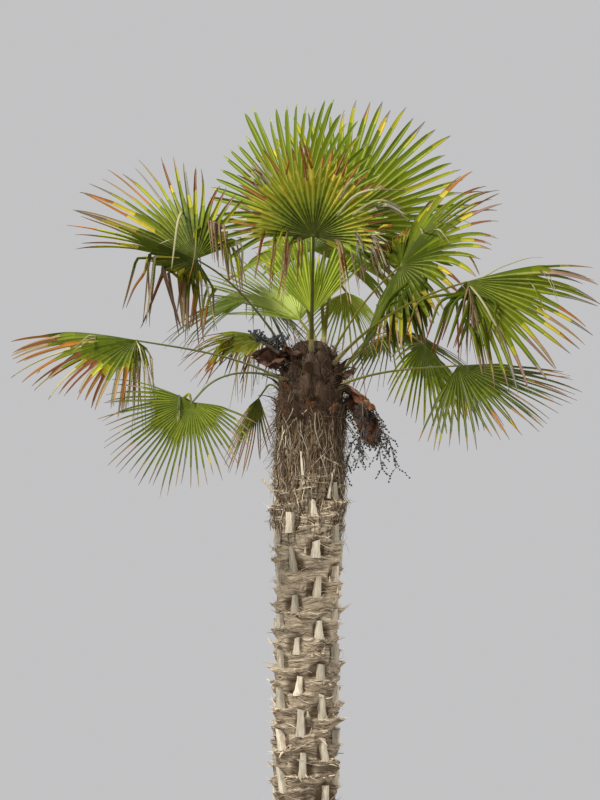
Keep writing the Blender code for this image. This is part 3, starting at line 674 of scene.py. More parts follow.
def source_leaflets(frond):
    """The broad leaflets of the solid, by its own rule."""
    rng = random.Random(frond.name)
    half = math.radians(frond.spread)
    plan = []
    for n in range(frond.leaflets):
        place = (2 * n + 1) / frond.leaflets - 1
        reach = frond.radius * (1 - OUTER_SHORT * abs(place) ** SHORT_CURVE) * rng.uniform(0.95, 1.04)
        droop = frond.droop * (0.7 + 0.9 * place**2) * rng.uniform(0.6, 1.4)
        degrees = frond.spread * place
        creased = any(low <= degrees <= high for low, high in frond.creased)
        plan.append(Leaflet(half * place, reach, droop, SPLIT if creased else 2.0))
    return plan


def leaflet_way(frond, leaflet):
    """Places, headings and side ways along a leaflet's rib, from the hub to the tip."""
    along, side, up = blade_axes(frond)
    fold = math.radians(frond.fold)
    sine, cosine = math.sin(leaflet.angle), math.cos(leaflet.angle)
    out = along * cosine + side * sine * math.cos(fold) - up * abs(sine) * math.sin(fold)
    bank = math.copysign(1.0, leaflet.angle) * cosine
    across = (side * cosine * math.cos(fold) - along * sine - up * bank * math.sin(fold)).normalized()
    across = (across - out * across.dot(out)).normalized()
    place = Vector(frond.hub)
    places, headings, sides = [place.copy()], [out.copy()], [across.copy()]
    before = out
    for step in range(WAY_STEPS):
        part = (step + 0.5) / WAY_STEPS
        heading = out + DOWN * leaflet.droop * PULL * part**2 + sides[0] * leaflet.sway * max(0.0, part - 0.4)
        if part > leaflet.crease:
            heading = out * HANG_OUT + DOWN + sides[0] * leaflet.sway
        heading.normalize()
        across = before.rotation_difference(heading) @ across
        place = place + heading * (leaflet.length / WAY_STEPS)
        places.append(place)
        headings.append(heading)
        sides.append(across.copy())
        before = heading
    return places, headings, sides


def on_way(way, part):
    """Place, heading and side way at a share of a leaflet's length."""
    places, headings, sides = way
    spot = min(part * WAY_STEPS, WAY_STEPS - 1e-6)
    low = int(spot)
    return places[low].lerp(places[low + 1], spot - low), headings[low + 1], sides[low + 1]


def node_tree_of(node):
    """The corners of a solid, to see which of its leaflets it kept."""
    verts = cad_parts[node].data.vertices
    tree = KDTree(len(verts))
    for vert in verts:
        tree.insert(vert.co, vert.index)
    tree.balance()
    return tree


def kept_share(frond, leaflet, corners):
    """How much of a broad leaflet its solid kept: all, up to the split, or none."""
    way = leaflet_way(frond, leaflet)
    if corners.find(way[0][-1])[2] < FOUND_NEAR:
        return 1.0
    if corners.find(on_way(way, SPLIT)[0])[2] < FOUND_NEAR:
        return STUMP
    return 0.0


def fine_leaflets(frond, finer):
    """Narrower leaflets in the place of each broad one, within the same reach."""
    look = LOOKS[frond.look]
    broad = source_leaflets(frond)
    corners = node_tree_of("fan_" + frond.name)
    kept = [kept_share(frond, leaflet, corners) for leaflet in broad]
    rng = random.Random(frond.name + " fine")
    count = frond.leaflets * finer
    plan = []
    for n in range(count):
        near = broad[n // finer]
        place = (2 * n + 1) / count - 1
        stray = math.radians(rng.gauss(0, look.stray))
        crease = near.crease
        if crease <= 1:
            crease = rng.uniform(0.5, 0.85) if rng.random() < look.snapped else 2.0
        if near.crease <= 1:
            crease = rng.uniform(*frond.hang)
        worn = 1.0 if near.crease <= 1 else 1 - (1 - look.side_reach) * smooth(*SIDES, abs(place))
        plan.append(Leaflet(
            math.radians(frond.spread) * place,
            near.length * rng.uniform(0.90, 1.0) * worn,
            near.droop * rng.uniform(0.75, 1.2),
            crease,
            stray * 2.2,
            rng.gauss(0, 0.35 if crease > 1 else 0.9),
            kept[n // finer] * (rng.uniform(0.85, 1.0) if kept[n // finer] < 1 else 1.0),
        ))
    return plan


# Tones dealt out along each leaflet.


class Wear:
    """How one leaflet has aged, and so which tone each stretch of it has, with painted shade on one half of the pleat
    and across the blade.
    """

    def __init__(self, look, leaflet, rng):
        self.look = look
        self.chain = look.chain.split()
        # The leaflets on one side of the blade are painted darker, as painted shade, and those on the other side paler.
        self.shift = rng.gauss(0, look.patchy) - look.dusk * math.sin(max(-1.5, min(1.5, leaflet.angle)))
        low, high = look.dead
        dead = 1 - low - (high - low) * rng.random() ** 1.6
        folded = leaflet.crease < 1
        if folded:
            dead = min(dead, leaflet.crease + rng.uniform(-0.08, 0.16))
        self.dead_from = [dead, dead + rng.uniform(-0.04, 0.04)]
        self.dead_tone = rng.choice(FOLDED_TONES if folded else look.dead_tones.split())
        self.narrowed = rng.uniform(0.5, 1.0) if folded else rng.uniform(0.60, 0.82)
        self.tip_from = 0.95 + rng.uniform(-0.04, 0.06)
        span = look.yellow_span * rng.uniform(0.3, 1.0) if rng.random() < look.yellow else 0.0
        self.yellow_from = [dry - span * rng.uniform(0.5, 1.0) for dry in self.dead_from]
        self.yellow_tone = rng.choice(("yellow", "gold_green", "gold_green"))

    def tone(self, part, half):
        """The tone of one half of a leaflet, at a share of its length."""
        if part > self.tip_from:
            return self.look.tip
        if part > self.dead_from[half]:
            return self.dead_tone
        if part > self.yellow_from[half]:
            return self.yellow_tone
        low, high = self.look.climb
        last = len(self.chain) - 1
        # The half shift paints one half of the pleat darker and the other paler, as shade and light on the fold.
        spot = (part - low) / (high - low) * last + self.shift + PLEAT_SHADE_SHIFT * (half - 0.5)
        return self.chain[min(max(round(spot), 0), last)]

    def shrink(self, part):
        """A dry stretch folds up and narrows."""
        return 1 - (1 - self.narrowed) * smooth(self.dead_from[0] - 0.03, self.dead_from[0] + 0.08, part)


# Shader node groups and materials.


def shared(make):
    """A maker of a node group, which is made once and then found by its maker's name."""
    @functools.wraps(make)
    def found():
        return bpy.data.node_groups.get(make.__name__) or make(make.__name__)
    return found


def fill(tree, node, values):
    """A node's inputs are linked or filled in."""
    for label, value in values.items():
        if isinstance(value, bpy.types.NodeSocket):
            tree.links.new(value, node.inputs[label])
        else:
            node.inputs[label].default_value = value
    return node


def new_group(name, **inputs):
    """A shader group with named inputs: its tree, and the sockets that its inputs come from."""
    tree = bpy.data.node_groups.new(name, "ShaderNodeTree")
    for label, default in inputs.items():
        kind = SOCKETS[len(default) if isinstance(default, tuple) else 1]
        tree.interface.new_socket(label, in_out="INPUT", socket_type=kind).default_value = default
    return tree, tree.nodes.new("NodeGroupInput").outputs


def group_out(tree, **outputs):
    """A group's outputs are made and linked."""
    for label in outputs:
        kind = SOCKETS[4 if label == "Color" else 1]
        tree.interface.new_socket(label, in_out="OUTPUT", socket_type=kind)
    fill(tree, tree.nodes.new("NodeGroupOutput"), outputs)
    return tree


def add_node(tree, kind, links=(), **values):
    """A node with its properties set and its inputs linked or filled in."""
    node = tree.nodes.new(kind)
    for label, value in values.items():
        setattr(node, label, value)
    return fill(tree, node, dict(links))


def math_of(tree, operation, *values):
    return add_node(tree, "ShaderNodeMath", dict(enumerate(values)), operation=operation).outputs[0]


def mix_color(tree, factor, first, second, blend="MIX"):
    node = add_node(tree, "ShaderNodeMix", data_type="RGBA", blend_type=blend)
    return fill(tree, node, {0: factor, 6: first, 7: second}).outputs[2]


def streaks(tree, vector, stretch, scale, detail, roughness=0.6):
    """Noise drawn out along one axis."""
    mapping = add_node(tree, "ShaderNodeMapping", {"Vector": vector, "Scale": stretch})
    texture = add_node(tree, "ShaderNodeTexNoise", {"Vector": mapping.outputs[0], "Scale": scale,
                                                    "Detail": detail, "Roughness": roughness})
    return texture.outputs["Fac"]


def ranged(tree, value, low, high, to_low=0.0, to_high=1.0):
    node = add_node(tree, "ShaderNodeMapRange", {"Value": value, "From Min": low, "From Max": high,
                                                 "To Min": to_low, "To Max": to_high})
    return node.outputs[0]


@shared
def leaf_veins(name):
    """Fine veins that run along a leaflet, a paler rib, blotches from leaf to leaf, and painted shade towards its
    edges.
    """
    tree, given = new_group(name, Color=(0.2, 0.3, 0.05, 1.0), Vein=0.35, Blotch=0.3)
    coords = tree.nodes.new("ShaderNodeTexCoord").outputs
    color = given["Color"]
    veins = streaks(tree, coords["UV"], (34.0, 0.7, 1.0), 1.0, 2.0)
    split = add_node(tree, "ShaderNodeSeparateXYZ", {"Vector": coords["UV"]}).outputs
    away = math_of(tree, "ABSOLUTE", math_of(tree, "SUBTRACT", split["X"], 0.5))
    blotch = streaks(tree, coords["Object"], (1.0, 1.0, 1.0), 9.0, 3.0)
    darker = mix_color(tree, 1.0, color, (0.42, 0.46, 0.36, 1.0), "MULTIPLY")
    paler = mix_color(tree, 0.34, color, (0.78, 0.76, 0.36, 1.0))
    for mask, amount, tone in ((ranged(tree, veins, 0.35, 0.75), given["Vein"], darker),
                               (ranged(tree, away, 0.02, 0.13, 1.0, 0.0), 0.75, paler),
                               (ranged(tree, blotch, 0.42, 0.62), given["Blotch"], darker)):
        color = mix_color(tree, math_of(tree, "MULTIPLY", mask, amount), color, tone)
    # Painted shade: each leaflet darkens towards its edges, in the folds of the pleat.
    color = mix_color(tree, ranged(tree, away, 0.20, 0.5, 0.0, 0.75), color, darker)
    return group_out(tree, Color=color, Height=veins, Roughness=ranged(tree, blotch, 0.3, 0.7, 0.42, 0.62))


@shared
def fibre_strands(name):
    """Strands on a surface whose UV map is in metres: level ones, or upright ones where Upright is 1. The Dark colour
    between the strands is painted shade.
    """
    tree, given = new_group(name, Dark=(0.1, 0.07, 0.05, 1.0), Light=(0.4, 0.33, 0.23, 1.0), Upright=0.0)
    place = tree.nodes.new("ShaderNodeTexCoord").outputs["UV"]
    bend = streaks(tree, place, (9.0, 16.0, 1.0), 1.0, 2.0)
    shift = add_node(tree, "ShaderNodeCombineXYZ", {"Y": ranged(tree, bend, 0.0, 1.0, -0.035, 0.035)})
    moved = add_node(tree, "ShaderNodeVectorMath", {0: place, 1: shift.outputs[0]}, operation="ADD").outputs[0]
    strands = []
    for level, upright in (((7.0, 105.0, 1.0), (95.0, 9.0, 1.0)), ((15.0, 340.0, 1.0), (300.0, 20.0, 1.0))):
        links = {0: given["Upright"], 2: streaks(tree, moved, level, 1.0, 2.0),
                 3: streaks(tree, place, upright, 1.0, 2.0)}
        strands.append(add_node(tree, "ShaderNodeMix", links).outputs[0])
    total = math_of(tree, "MULTIPLY_ADD", strands[0], 0.60, math_of(tree, "MULTIPLY", strands[1], 0.55))
    # Painted shade: the Dark colour shows in the gaps between the strands.
    color = mix_color(tree, ranged(tree, total, 0.43, 0.67), given["Dark"], given["Light"])
    return group_out(tree, Color=color, Height=total)


@shared
def mottle(name):
    """Soft blotches and a fine grain in the piece's own place."""
    tree, given = new_group(name, Color=(0.5, 0.5, 0.5, 1.0), Other=(0.3, 0.3, 0.3, 1.0), Amount=0.6,
                            Stretch=(1.0, 1.0, 1.0), Scale=60.0)
    place = tree.nodes.new("ShaderNodeTexCoord").outputs["Object"]
    grain = streaks(tree, place, given["Stretch"], given["Scale"], 4.0, 0.5)
    part = math_of(tree, "MULTIPLY", ranged(tree, grain, 0.35, 0.68), given["Amount"])
    return group_out(tree, Color=mix_color(tree, part, given["Color"], given["Other"]), Height=grain,
                     Roughness=ranged(tree, grain, 0.3, 0.7, 0.5, 0.85))


def group_material(name, group, values, bump, shine=0.15):
    """A Principled material whose colour, bump and roughness come from a group; each name is made once."""
    if name in bpy.data.materials:
        return bpy.data.materials[name]
    made = bpy.data.materials.new(name)
    made.use_nodes = True
    tree = made.node_tree
    given = fill(tree, add_node(tree, "ShaderNodeGroup", node_tree=group), values).outputs
    raised = add_node(tree, "ShaderNodeBump", {"Height": given["Height"], "Strength": bump, "Distance": 0.001})
    fill(tree, tree.nodes["Principled BSDF"], {
        "Base Color": given["Color"], "Roughness": given["Roughness"], "Normal": raised.outputs[0],
        "Specular IOR Level": shine})
    made.diffuse_color = values["Color"]
    return made


DRY_TONES = ("orange", "rust", "tan", "blush", "ashen", "cream")


def leaf_material(tone):
    dry = tone in DRY_TONES
    values = {"Color": (*getattr(bpy.context.scene.palm_leaves, tone), 1.0), "Vein": 0.45 if dry else 0.32,
              "Blotch": 0.45 if dry else 0.28}
    return group_material("leaf_" + tone, leaf_veins(), values, 0.35, 0.04 if dry else 0.08)


def mottled(name, color, other, amount, scale, stretch=(1.0, 1.0, 1.0), bump=0.3):
    """A colour with blotches of another one, which is given itself or as a share of the first."""
    if isinstance(other, float):
        other = toned(color, other)
    return group_material(name, mottle(), {"Color": (*color, 1.0), "Other": (*other, 1.0), "Amount": amount,
                                           "Scale": scale, "Stretch": stretch}, bump)


# The leaves.


def parting(split, left, right):
    """Where two neighbours part: before the first fold of the two."""
    first = min(split, left.crease, right.crease)
    return max(level for level in LEVELS if level <= max(first, LEVELS[1]))


def pleat_edge(seam, reach, part, half_angle):
    """A place on the seam between two leaflets, raised by the pleat."""
    spot, heading, across = on_way(seam, part)
    return spot + across.cross(heading) * PLEAT * (2 * reach * part * math.sin(half_angle))


def blade_seams(frond, look, plan, rng):
    """The seams on both sides of every leaflet: the way, the length, and where the leaflets part."""
    half_angle = math.radians(frond.spread) / len(plan)
    seams = []
    for n, (left, right) in enumerate(zip([plan[0], *plan], [*plan, plan[-1]])):
        angle = (left.angle + right.angle) / 2
        if left is right:
            angle += half_angle * (1 if n else -1)
        between = Leaflet(angle, (left.length + right.length) / 2, (left.droop + right.droop) / 2)
        split = parting(rng.choice(look.split), left, right)
        seams.append((leaflet_way(frond, between), between.length, split))
    return seams


def blade_bmesh(frond, finer):
    """A pleated fan as one sheet: strips for the leaflets, joined to their neighbours up to the splits."""
    look = LOOKS[frond.look]
    plan = fine_leaflets(frond, finer)
    rng = random.Random(frond.name + " wear")
    wears = [Wear(look, leaflet, rng) for leaflet in plan]
    half_angle = math.radians(frond.spread) / len(plan)
    seams = blade_seams(frond, look, plan, rng)
    bm = bmesh.new()
    uv_layer = bm.loops.layers.uv.new("UVMap")
    used = []
    rows = len(LEVELS) - 1
    for n, (leaflet, wear) in enumerate(zip(plan, wears)):
        if leaflet.kept <= 0:
            continue
        way = leaflet_way(frond, leaflet)
        made = bmesh.ops.create_grid(bm, x_segments=2, y_segments=rows, size=1.0, calc_uvs=True)["verts"]
        edges = {}
        for column, (seam, reach, split) in zip((-1, 1), seams[n:n + 2]):
            rib, heading, across = on_way(way, split)
            offset = pleat_edge(seam, reach, split, half_angle) - rib
            edges[column] = (seam, reach, split, offset.dot(across), offset.dot(across.cross(heading)))
        for vert in made:
            column = round(vert.co.x)
            level = LEVELS[round((vert.co.y + 1) / 2 * rows)]
            rib, heading, across = on_way(way, level * leaflet.kept)
            if column == 0:
                vert.co = rib
                continue
            seam, reach, split, side, lift = edges[column]
            if level <= split and leaflet.kept == 1.0:
                vert.co = pleat_edge(seam, reach, level, half_angle)
                continue
            free = max(0.0, (level - split) / (1 - split))
            width = (1 - 0.25 * free) * (1 - 0.93 * free**look.taper) * wear.shrink(level)
            width *= look.slim + (1 - look.slim) * (1 - smooth(0.0, 0.25, free))
            width *= min(1.0, level / split)
            turned = Matrix.Rotation(leaflet.twist * free, 3, heading)
            vert.co = rib + turned @ (across * side + across.cross(heading) * lift) * width
        for face in {face for vert in made for face in vert.link_faces}:
            uvs = [loop[uv_layer].uv for loop in face.loops]
            row = round(min(uv.y for uv in uvs) * rows)
            half = 0 if min(uv.x for uv in uvs) < 0.25 else 1
            tone = wear.tone((LEVELS[row] + LEVELS[row + 1]) / 2, half)
            if tone not in used:
                used.append(tone)
            face.material_index = used.index(tone)
            face.smooth = True
    bmesh.ops.remove_doubles(bm, verts=bm.verts, dist=2e-5)
    return bm, used


def make_blade(frond, settings):
    bm, used = blade_bmesh(frond, settings.finer)
    name = "blade_" + frond.name
    finishes = [leaf_material(tone) for tone in used]
    piece = add_piece(name, mesh_from(bm, name), finishes, "leaf_blade", "fan_" + frond.name)
    thickened(piece, settings.thick)
    piece.data.set_sharp_from_angle(angle=math.radians(BLADE_SHARP))


def add_loose(strands, frond, loose, slots, rng):
    """One loose leaflet or one bundle of them is added to the strands; slots are those of its tones."""
    several = loose.count > 1
    near = min(source_leaflets(frond), key=lambda leaflet: abs(leaflet.angle - math.radians(loose.angle)))
    for _ in range(loose.count):
        aside = rng.gauss(0, loose.scatter / 2)
        angle = math.radians(loose.angle)
        if loose.share > SIDE_BY_SIDE:
            limit = math.radians(frond.spread)
            angle = max(-limit, min(limit, angle + aside / (frond.radius * loose.share)))
            aside *= 0.3
        held = Leaflet(angle, near.length, near.droop)
        place = on_way(leaflet_way(frond, held), loose.share)[0]
        reach = rng.uniform(0.75, 1.05) if several else 1.0
        bends = np.array([(0.0, 0.0), *((x * reach + aside, z * reach) for x, z in loose.bends)])
        lengths = np.concatenate(((0.0,), np.cumsum(np.hypot(*np.diff(bends, axis=0).T))))
        along = np.linspace(0.0, lengths[-1], len(strands.parts))
        right, up = (np.interp(along, lengths, line) for line in bends.T)
        for line in (right, up):
            line[1:-1] = (line[:-2] + line[1:-1] + line[2:]) / 3
        toward = loose.toward * rng.uniform(0.7, 1.2) * smooth_array(-0.1, 0.4, along / lengths[-1])
        toward[0] = 0.0
        way = [(place.x + x, place.y - y, place.z + z) for x, y, z in zip(right, toward, up)]
        broad = loose.width / 2 * (rng.uniform(0.6, 1.15) if several else 1.0)
        shift = rng.uniform(-0.6, 0.6) if several else 0.0
        spots = [min(max(int(part * len(slots) + shift), 0), len(slots) - 1) for part in strands.parts[:-1]]
        strands.add(way, (0.15, -1.0, 0.1), [broad * (1 - 0.85 * part**3) for part in strands.parts],
                    [slots[spot] for spot in spots])


def loose_leaflets():
    """Broken and dead leaflets, each from where it holds to its blade."""
    rng = random.Random("loose")
    strands = Strands(13)
    fronds = {frond.name: frond for frond in FRONDS}
    used = sorted({tone for rows in LOOSE.values() for loose in rows for tone in loose.tones.split()})
    for name, rows in LOOSE.items():
        for loose in rows:
            add_loose(strands, fronds[name], loose, [used.index(tone) for tone in loose.tones.split()], rng)
    mesh = strands.mesh("loose_leaflets", FOLDED, lambda widths: np.minimum(widths * 0.7, LOOSE_DEPTH))
    add_piece("loose_leaflets", mesh, [leaf_material(tone) for tone in used], "leaf_blade")


def carried_ring(bm, way, radii, sides, shape=lambda x, y: (x, y)):
    """A tube pulled along a way from one ring, its section shaped by shape(x, y), and closed at its ends."""
    current = bmesh.ops.create_circle(bm, segments=sides, radius=1.0, cap_ends=True)["verts"]
    section = {vert: shape(vert.co.x, vert.co.y) for vert in current}
    loop = [edge for edge in bm.edges if edge.verts[0] in section and edge.verts[1] in section]
    before = (way[1] - way[0]).normalized()
    across = before.cross(UP)
    if across.length < 1e-3:
        across = before.cross(Vector((0, 1, 0)))
    across.normalize()
    for n, (place, radius) in enumerate(zip(way, radii)):
        heading = (way[min(n + 1, len(way) - 1)] - way[max(n - 1, 0)]).normalized()
        across = before.rotation_difference(heading) @ across
        before = heading
        up = across.cross(heading)
        if n:
            pulled = bmesh.ops.extrude_edge_only(bm, edges=loop)["geom"]
            loop = [e for e in pulled if isinstance(e, bmesh.types.BMEdge)]
            current = [v for v in pulled if isinstance(v, bmesh.types.BMVert)]
            section |= {vert: next(section[e.other_vert(vert)] for e in vert.link_edges
                                   if e.other_vert(vert) in section) for vert in current}
        for vert in current:
            x, y = section[vert]
            vert.co = place + (across * x + up * y) * radius
    bmesh.ops.contextual_create(bm, geom=loop)


def stalk_section(x, y):
    """Flat above and rounded below, with a margin on each side."""
    return x * MARGIN, y * (0.45 if y > 0 else 0.9)


def make_petiole(frond, settings):
    """A leaf stalk with fine teeth along its margins."""
    way = stalk_way(frond, STALK_STEPS)
    radii = []
    for n in range(len(way)):
        part = n / (len(way) - 1)
        radius = STALK_FOOT_RADIUS + (STALK_TIP_RADIUS - STALK_FOOT_RADIUS) * part**0.5
        radii.append(STALK_SLIM * radius * (1 + STALK_SWELL * max(0.0, 1 - part * 5)))
    bm = bmesh.new()
    carried_ring(bm, way, radii, 10, stalk_section)
    for face in bm.faces:
        face.material_index = 1 if (face.calc_center_median() - way[2]).length < PALE_FOOT else 0
    rng = random.Random(frond.name + " teeth")
    upper = blade_axes(frond)[2]
    for n in range(2, len(way) - 2):
        heading = (way[n + 1] - way[n]).normalized()
        across = heading.cross(UP)
        across = across.normalized() if across.length > 0.05 else heading.cross(upper).normalized()
        for sign, k in ((-1, 0), (-1, 1), (1, 0), (1, 1)):
            place = way[n].lerp(way[n + 1], (k + rng.random()) / 2)
            tip = (across * sign + heading * 0.4).normalized()
            tooth = bmesh.ops.create_cone(bm, cap_ends=True, segments=3, **TOOTH)["verts"]
            spot = place + across * sign * radii[n] * MARGIN
            bmesh.ops.transform(bm, matrix=aimed(spot, tip), verts=tooth)
    tone = STALKS.get(frond.name, "stalk")
    green = mottled(tone, getattr(settings, tone), 0.6, 0.55, 40.0, (1.0, 1.0, 0.4), 0.25)
    brown = mottled("stalk_foot", settings.stalk_foot, 0.45, 0.7, 70.0, (1.0, 1.0, 0.4), 0.4)
    name = "petiole_" + frond.name
    add_piece(name, mesh_from(bm, name, 50), [green, brown], "leaf_stalk", "stalk_" + frond.name)


# The trunk.


def mat_edges():
    """Each cut leaf base's azimuth and height, from the ground up into the head."""
    first = -int((BASE_FIRST - 0.04) / BASE_RISE)
    last = int((HEAD_FOOT - BASE_FIRST) / BASE_RISE)
    return [(n, BASE_START + n * BASE_TURN, BASE_FIRST + n * BASE_RISE) for n in range(first, last)]


def cut_bases():
    """The leaf bases whose cut ends show."""
    return [base for base in mat_edges() if BASE_FIRST - 1e-6 <= base[2] <= BASE_LAST]


def noise_grid(azimuths, heights, around, up, seed):
    """Smooth noise on the trunk's surface, coarser where around or up is small, from -1 to 1."""
    ring = [(math.cos(azimuth) * around, math.sin(azimuth) * around) for azimuth in azimuths]
    return np.array([[noise.noise(Vector((x, y, height * up + seed))) for x, y in ring] for height in heights])


def mat_lip(azimuths, azimuth, height, tilt, wander):
    """Height of a mat's upper edge all round the trunk: it starts at the foot of its leaf base."""
    turn = (azimuths - azimuth + math.pi) % math.tau - math.pi
    return turn, height - LIP_BELOW + LIP_CLIMB * np.abs(turn) + tilt * turn + LIP_WANDER * wander


def trunk_field(settings):
    """The trunk's surface: azimuths, heights, how far it stands off the column, and how raised it is, which is painted
    as light on the mats' edges and as shade in the hollows.

    The mats are laid over each other from the youngest down, so that an older one covers the foot of the next.
    """
    azimuths = np.arange(settings.sides) * math.tau / settings.sides
    heights = np.arange(GROUND, TRUNK_HEIGHT, settings.ring)
    grid_a, grid_z = np.meshgrid(azimuths, heights)
    rng = random.Random("mats")
    wander = noise_grid(azimuths, heights, 1.4, 4.0, 7.0) + 0.35 * noise_grid(azimuths, heights, 6.0, 12.0, 9.0)
    flares = noise_grid(azimuths, heights, 1.9, 9.0, 31.0)
    ears = np.clip(noise_grid(azimuths, heights, 4.5, 13.0, 55.0), 0.0, 1.0)
    relief = np.full_like(grid_a, -settings.pocket)
    raised = np.zeros_like(grid_a)
    for _, azimuth, height in reversed(mat_edges()):
        turn, lip = mat_lip(grid_a, azimuth, height, rng.uniform(-0.014, 0.014), wander)
        below = lip - grid_z
        hold = 1 - smooth_array(0.70, 1.45, np.abs(turn) + 0.4 * flares)
        covers = hold * smooth_array(-0.003, 0.002, below) * (1 - smooth_array(0.09, 0.17, below))
        stand = np.exp(-np.maximum(below, 0) / settings.lip_fall)
        amount = stand * rng.uniform(0.7, 1.0) * (0.75 + 0.5 * flares + 1.2 * ears)
        relief = relief * (1 - covers) + (amount * (settings.lip + settings.pocket) - settings.pocket) * covers
        # The raised value is high on a mat's lip and falls below it; it is painted as light on the lips and as shade
        # under them.
        raised = raised * (1 - covers) + np.clip(0.25 + 0.9 * amount, 0, 1) * covers
    for _, azimuth, height in cut_bases():
        turn = (grid_a - azimuth + math.pi) % math.tau - math.pi
        wide = np.where(turn < 0, rng.uniform(0.16, 0.46), rng.uniform(0.16, 0.46))
        hollow = 1 - smooth_array(-0.08, 0.10, np.abs(turn) - wide)
        hollow *= smooth_array(height - LIP_BELOW - 0.002, height - LIP_BELOW + 0.004, grid_z)
        hollow *= 1 - smooth_array(0.022, 0.058, grid_z - height + 0.07 * np.abs(turn))
        relief = relief * (1 - hollow) + np.minimum(relief, -settings.pocket) * hollow
        # The hollows beside each cut leaf base get a low raised value, which is painted as shade there.
        raised *= 1 - 0.85 * hollow
    tangle = noise_grid(azimuths, heights, 1.7, 62.0, 21.0)
    fine = noise_grid(azimuths, heights, 5.0, 190.0, 43.0)
    upright = noise_grid(azimuths, heights, 22.0, 9.0, 65.0)
    lumps = noise_grid(azimuths, heights, 3.0, 11.0, 87.0)
    shaggy = smooth_array(1.99, 2.13, grid_z + 0.05 * wander)
    relief = relief * (1 - 0.6 * shaggy)
    relief += (1 - shaggy) * (0.0048 * tangle + 0.0018 * fine)
    relief += shaggy * (0.0055 * upright + 0.0075 * lumps + 0.001 * fine)
    relief *= smooth_array(0.0, 0.05, grid_z)
    raised = np.clip(raised + 0.15 * tangle, 0.0, 1.0) * (1 - shaggy) + shaggy * np.clip(0.5 + lumps + upright, 0, 1)
    return azimuths, heights, relief, raised, shaggy


Relief = namedtuple("Relief", "sides ring lip lip_fall pocket")


class TrunkSurface:
    """The trunk's surface, to lay threads and shreds on."""

    def __init__(self, settings):
        self.azimuths, self.heights, self.relief, self.raised, self.shaggy = trunk_field(settings)
        self.sides = len(self.azimuths)
        self.ring = settings.ring

    def lit(self, azimuth, height):
        """How raised the surface is, from 0 in a hollow to 1 on a mat's edge; it stands for how lit the surface is."""
        row = min(max(int((height - GROUND) / self.ring), 0), len(self.heights) - 1)
        return self.raised[row, int(azimuth % math.tau / math.tau * self.sides) % self.sides]

    def at(self, azimuth, height, proud=0.0):
        column = azimuth % math.tau / math.tau * self.sides
        row = min(max((height - GROUND) / self.ring, 0.0), len(self.heights) - 1.001)
        a, z = int(column), int(row)
        da, dz = column - a, row - z
        near = self.relief[z, a % self.sides] * (1 - da) + self.relief[z, (a + 1) % self.sides] * da
        above = self.relief[z + 1, a % self.sides] * (1 - da) + self.relief[z + 1, (a + 1) % self.sides] * da
        radius = trunk_radius(height) + near * (1 - dz) + above * dz + proud
        return trunk_axis(height) + Vector((math.cos(azimuth) * radius, math.sin(azimuth) * radius, 0.0))


surface_for = functools.cache(TrunkSurface)


def trunk_surface(settings):
    """The trunk's surface with these settings, made once for all the pieces that lie on it."""
    return surface_for(Relief(*(getattr(settings, label) for label in Relief._fields)))


def make_trunk_skin(surface, settings):
    """The trunk's relief, as a grid rolled round the axis and closed above and below."""
    sides, rings = surface.sides, len(surface.heights)
    bm = bmesh.new()
    uv_layer = bm.loops.layers.uv.new("UVMap")
    raised_layer = bm.verts.layers.float.new("raised")
    shaggy_layer = bm.verts.layers.float.new("shaggy")
    grid = bmesh.ops.create_grid(bm, x_segments=sides, y_segments=rings, size=1.0, calc_uvs=True)["verts"]
    girth = math.tau * COLUMN_RADIUS
    for vert in grid:
        column = round((vert.co.x + 1) / 2 * sides)
        row = round((vert.co.y + 1) / 2 * rings)
        azimuth = column * math.tau / sides
        if row < rings:
            height = surface.heights[row]
            vert.co = surface.at(azimuth, height)
            # The raised value goes on each corner, and the fibre's material paints it as light on the lips and shade in
            # the hollows.
            vert[raised_layer] = surface.raised[row, column % sides]
            vert[shaggy_layer] = surface.shaggy[row, column % sides]
        else:
            vert.co = trunk_axis(TRUNK_HEIGHT) + Vector(outward(azimuth)) * TIP_RADIUS * 0.8
            vert[shaggy_layer] = 1.0
    for face in bm.faces:
        for loop in face.loops:
            uv = loop[uv_layer].uv
            loop[uv_layer].uv = (uv.x * girth, uv.y * TRUNK_HEIGHT)
    bmesh.ops.remove_doubles(bm, verts=bm.verts, dist=1e-6)
    ends = [e for e in bm.edges if e.is_boundary]
    bmesh.ops.holes_fill(bm, edges=ends, sides=0)
    add_piece("trunk_skin", mesh_from(bm, "trunk_skin", 60), [trunk_material(settings)], "trunk_fibre", "trunk")


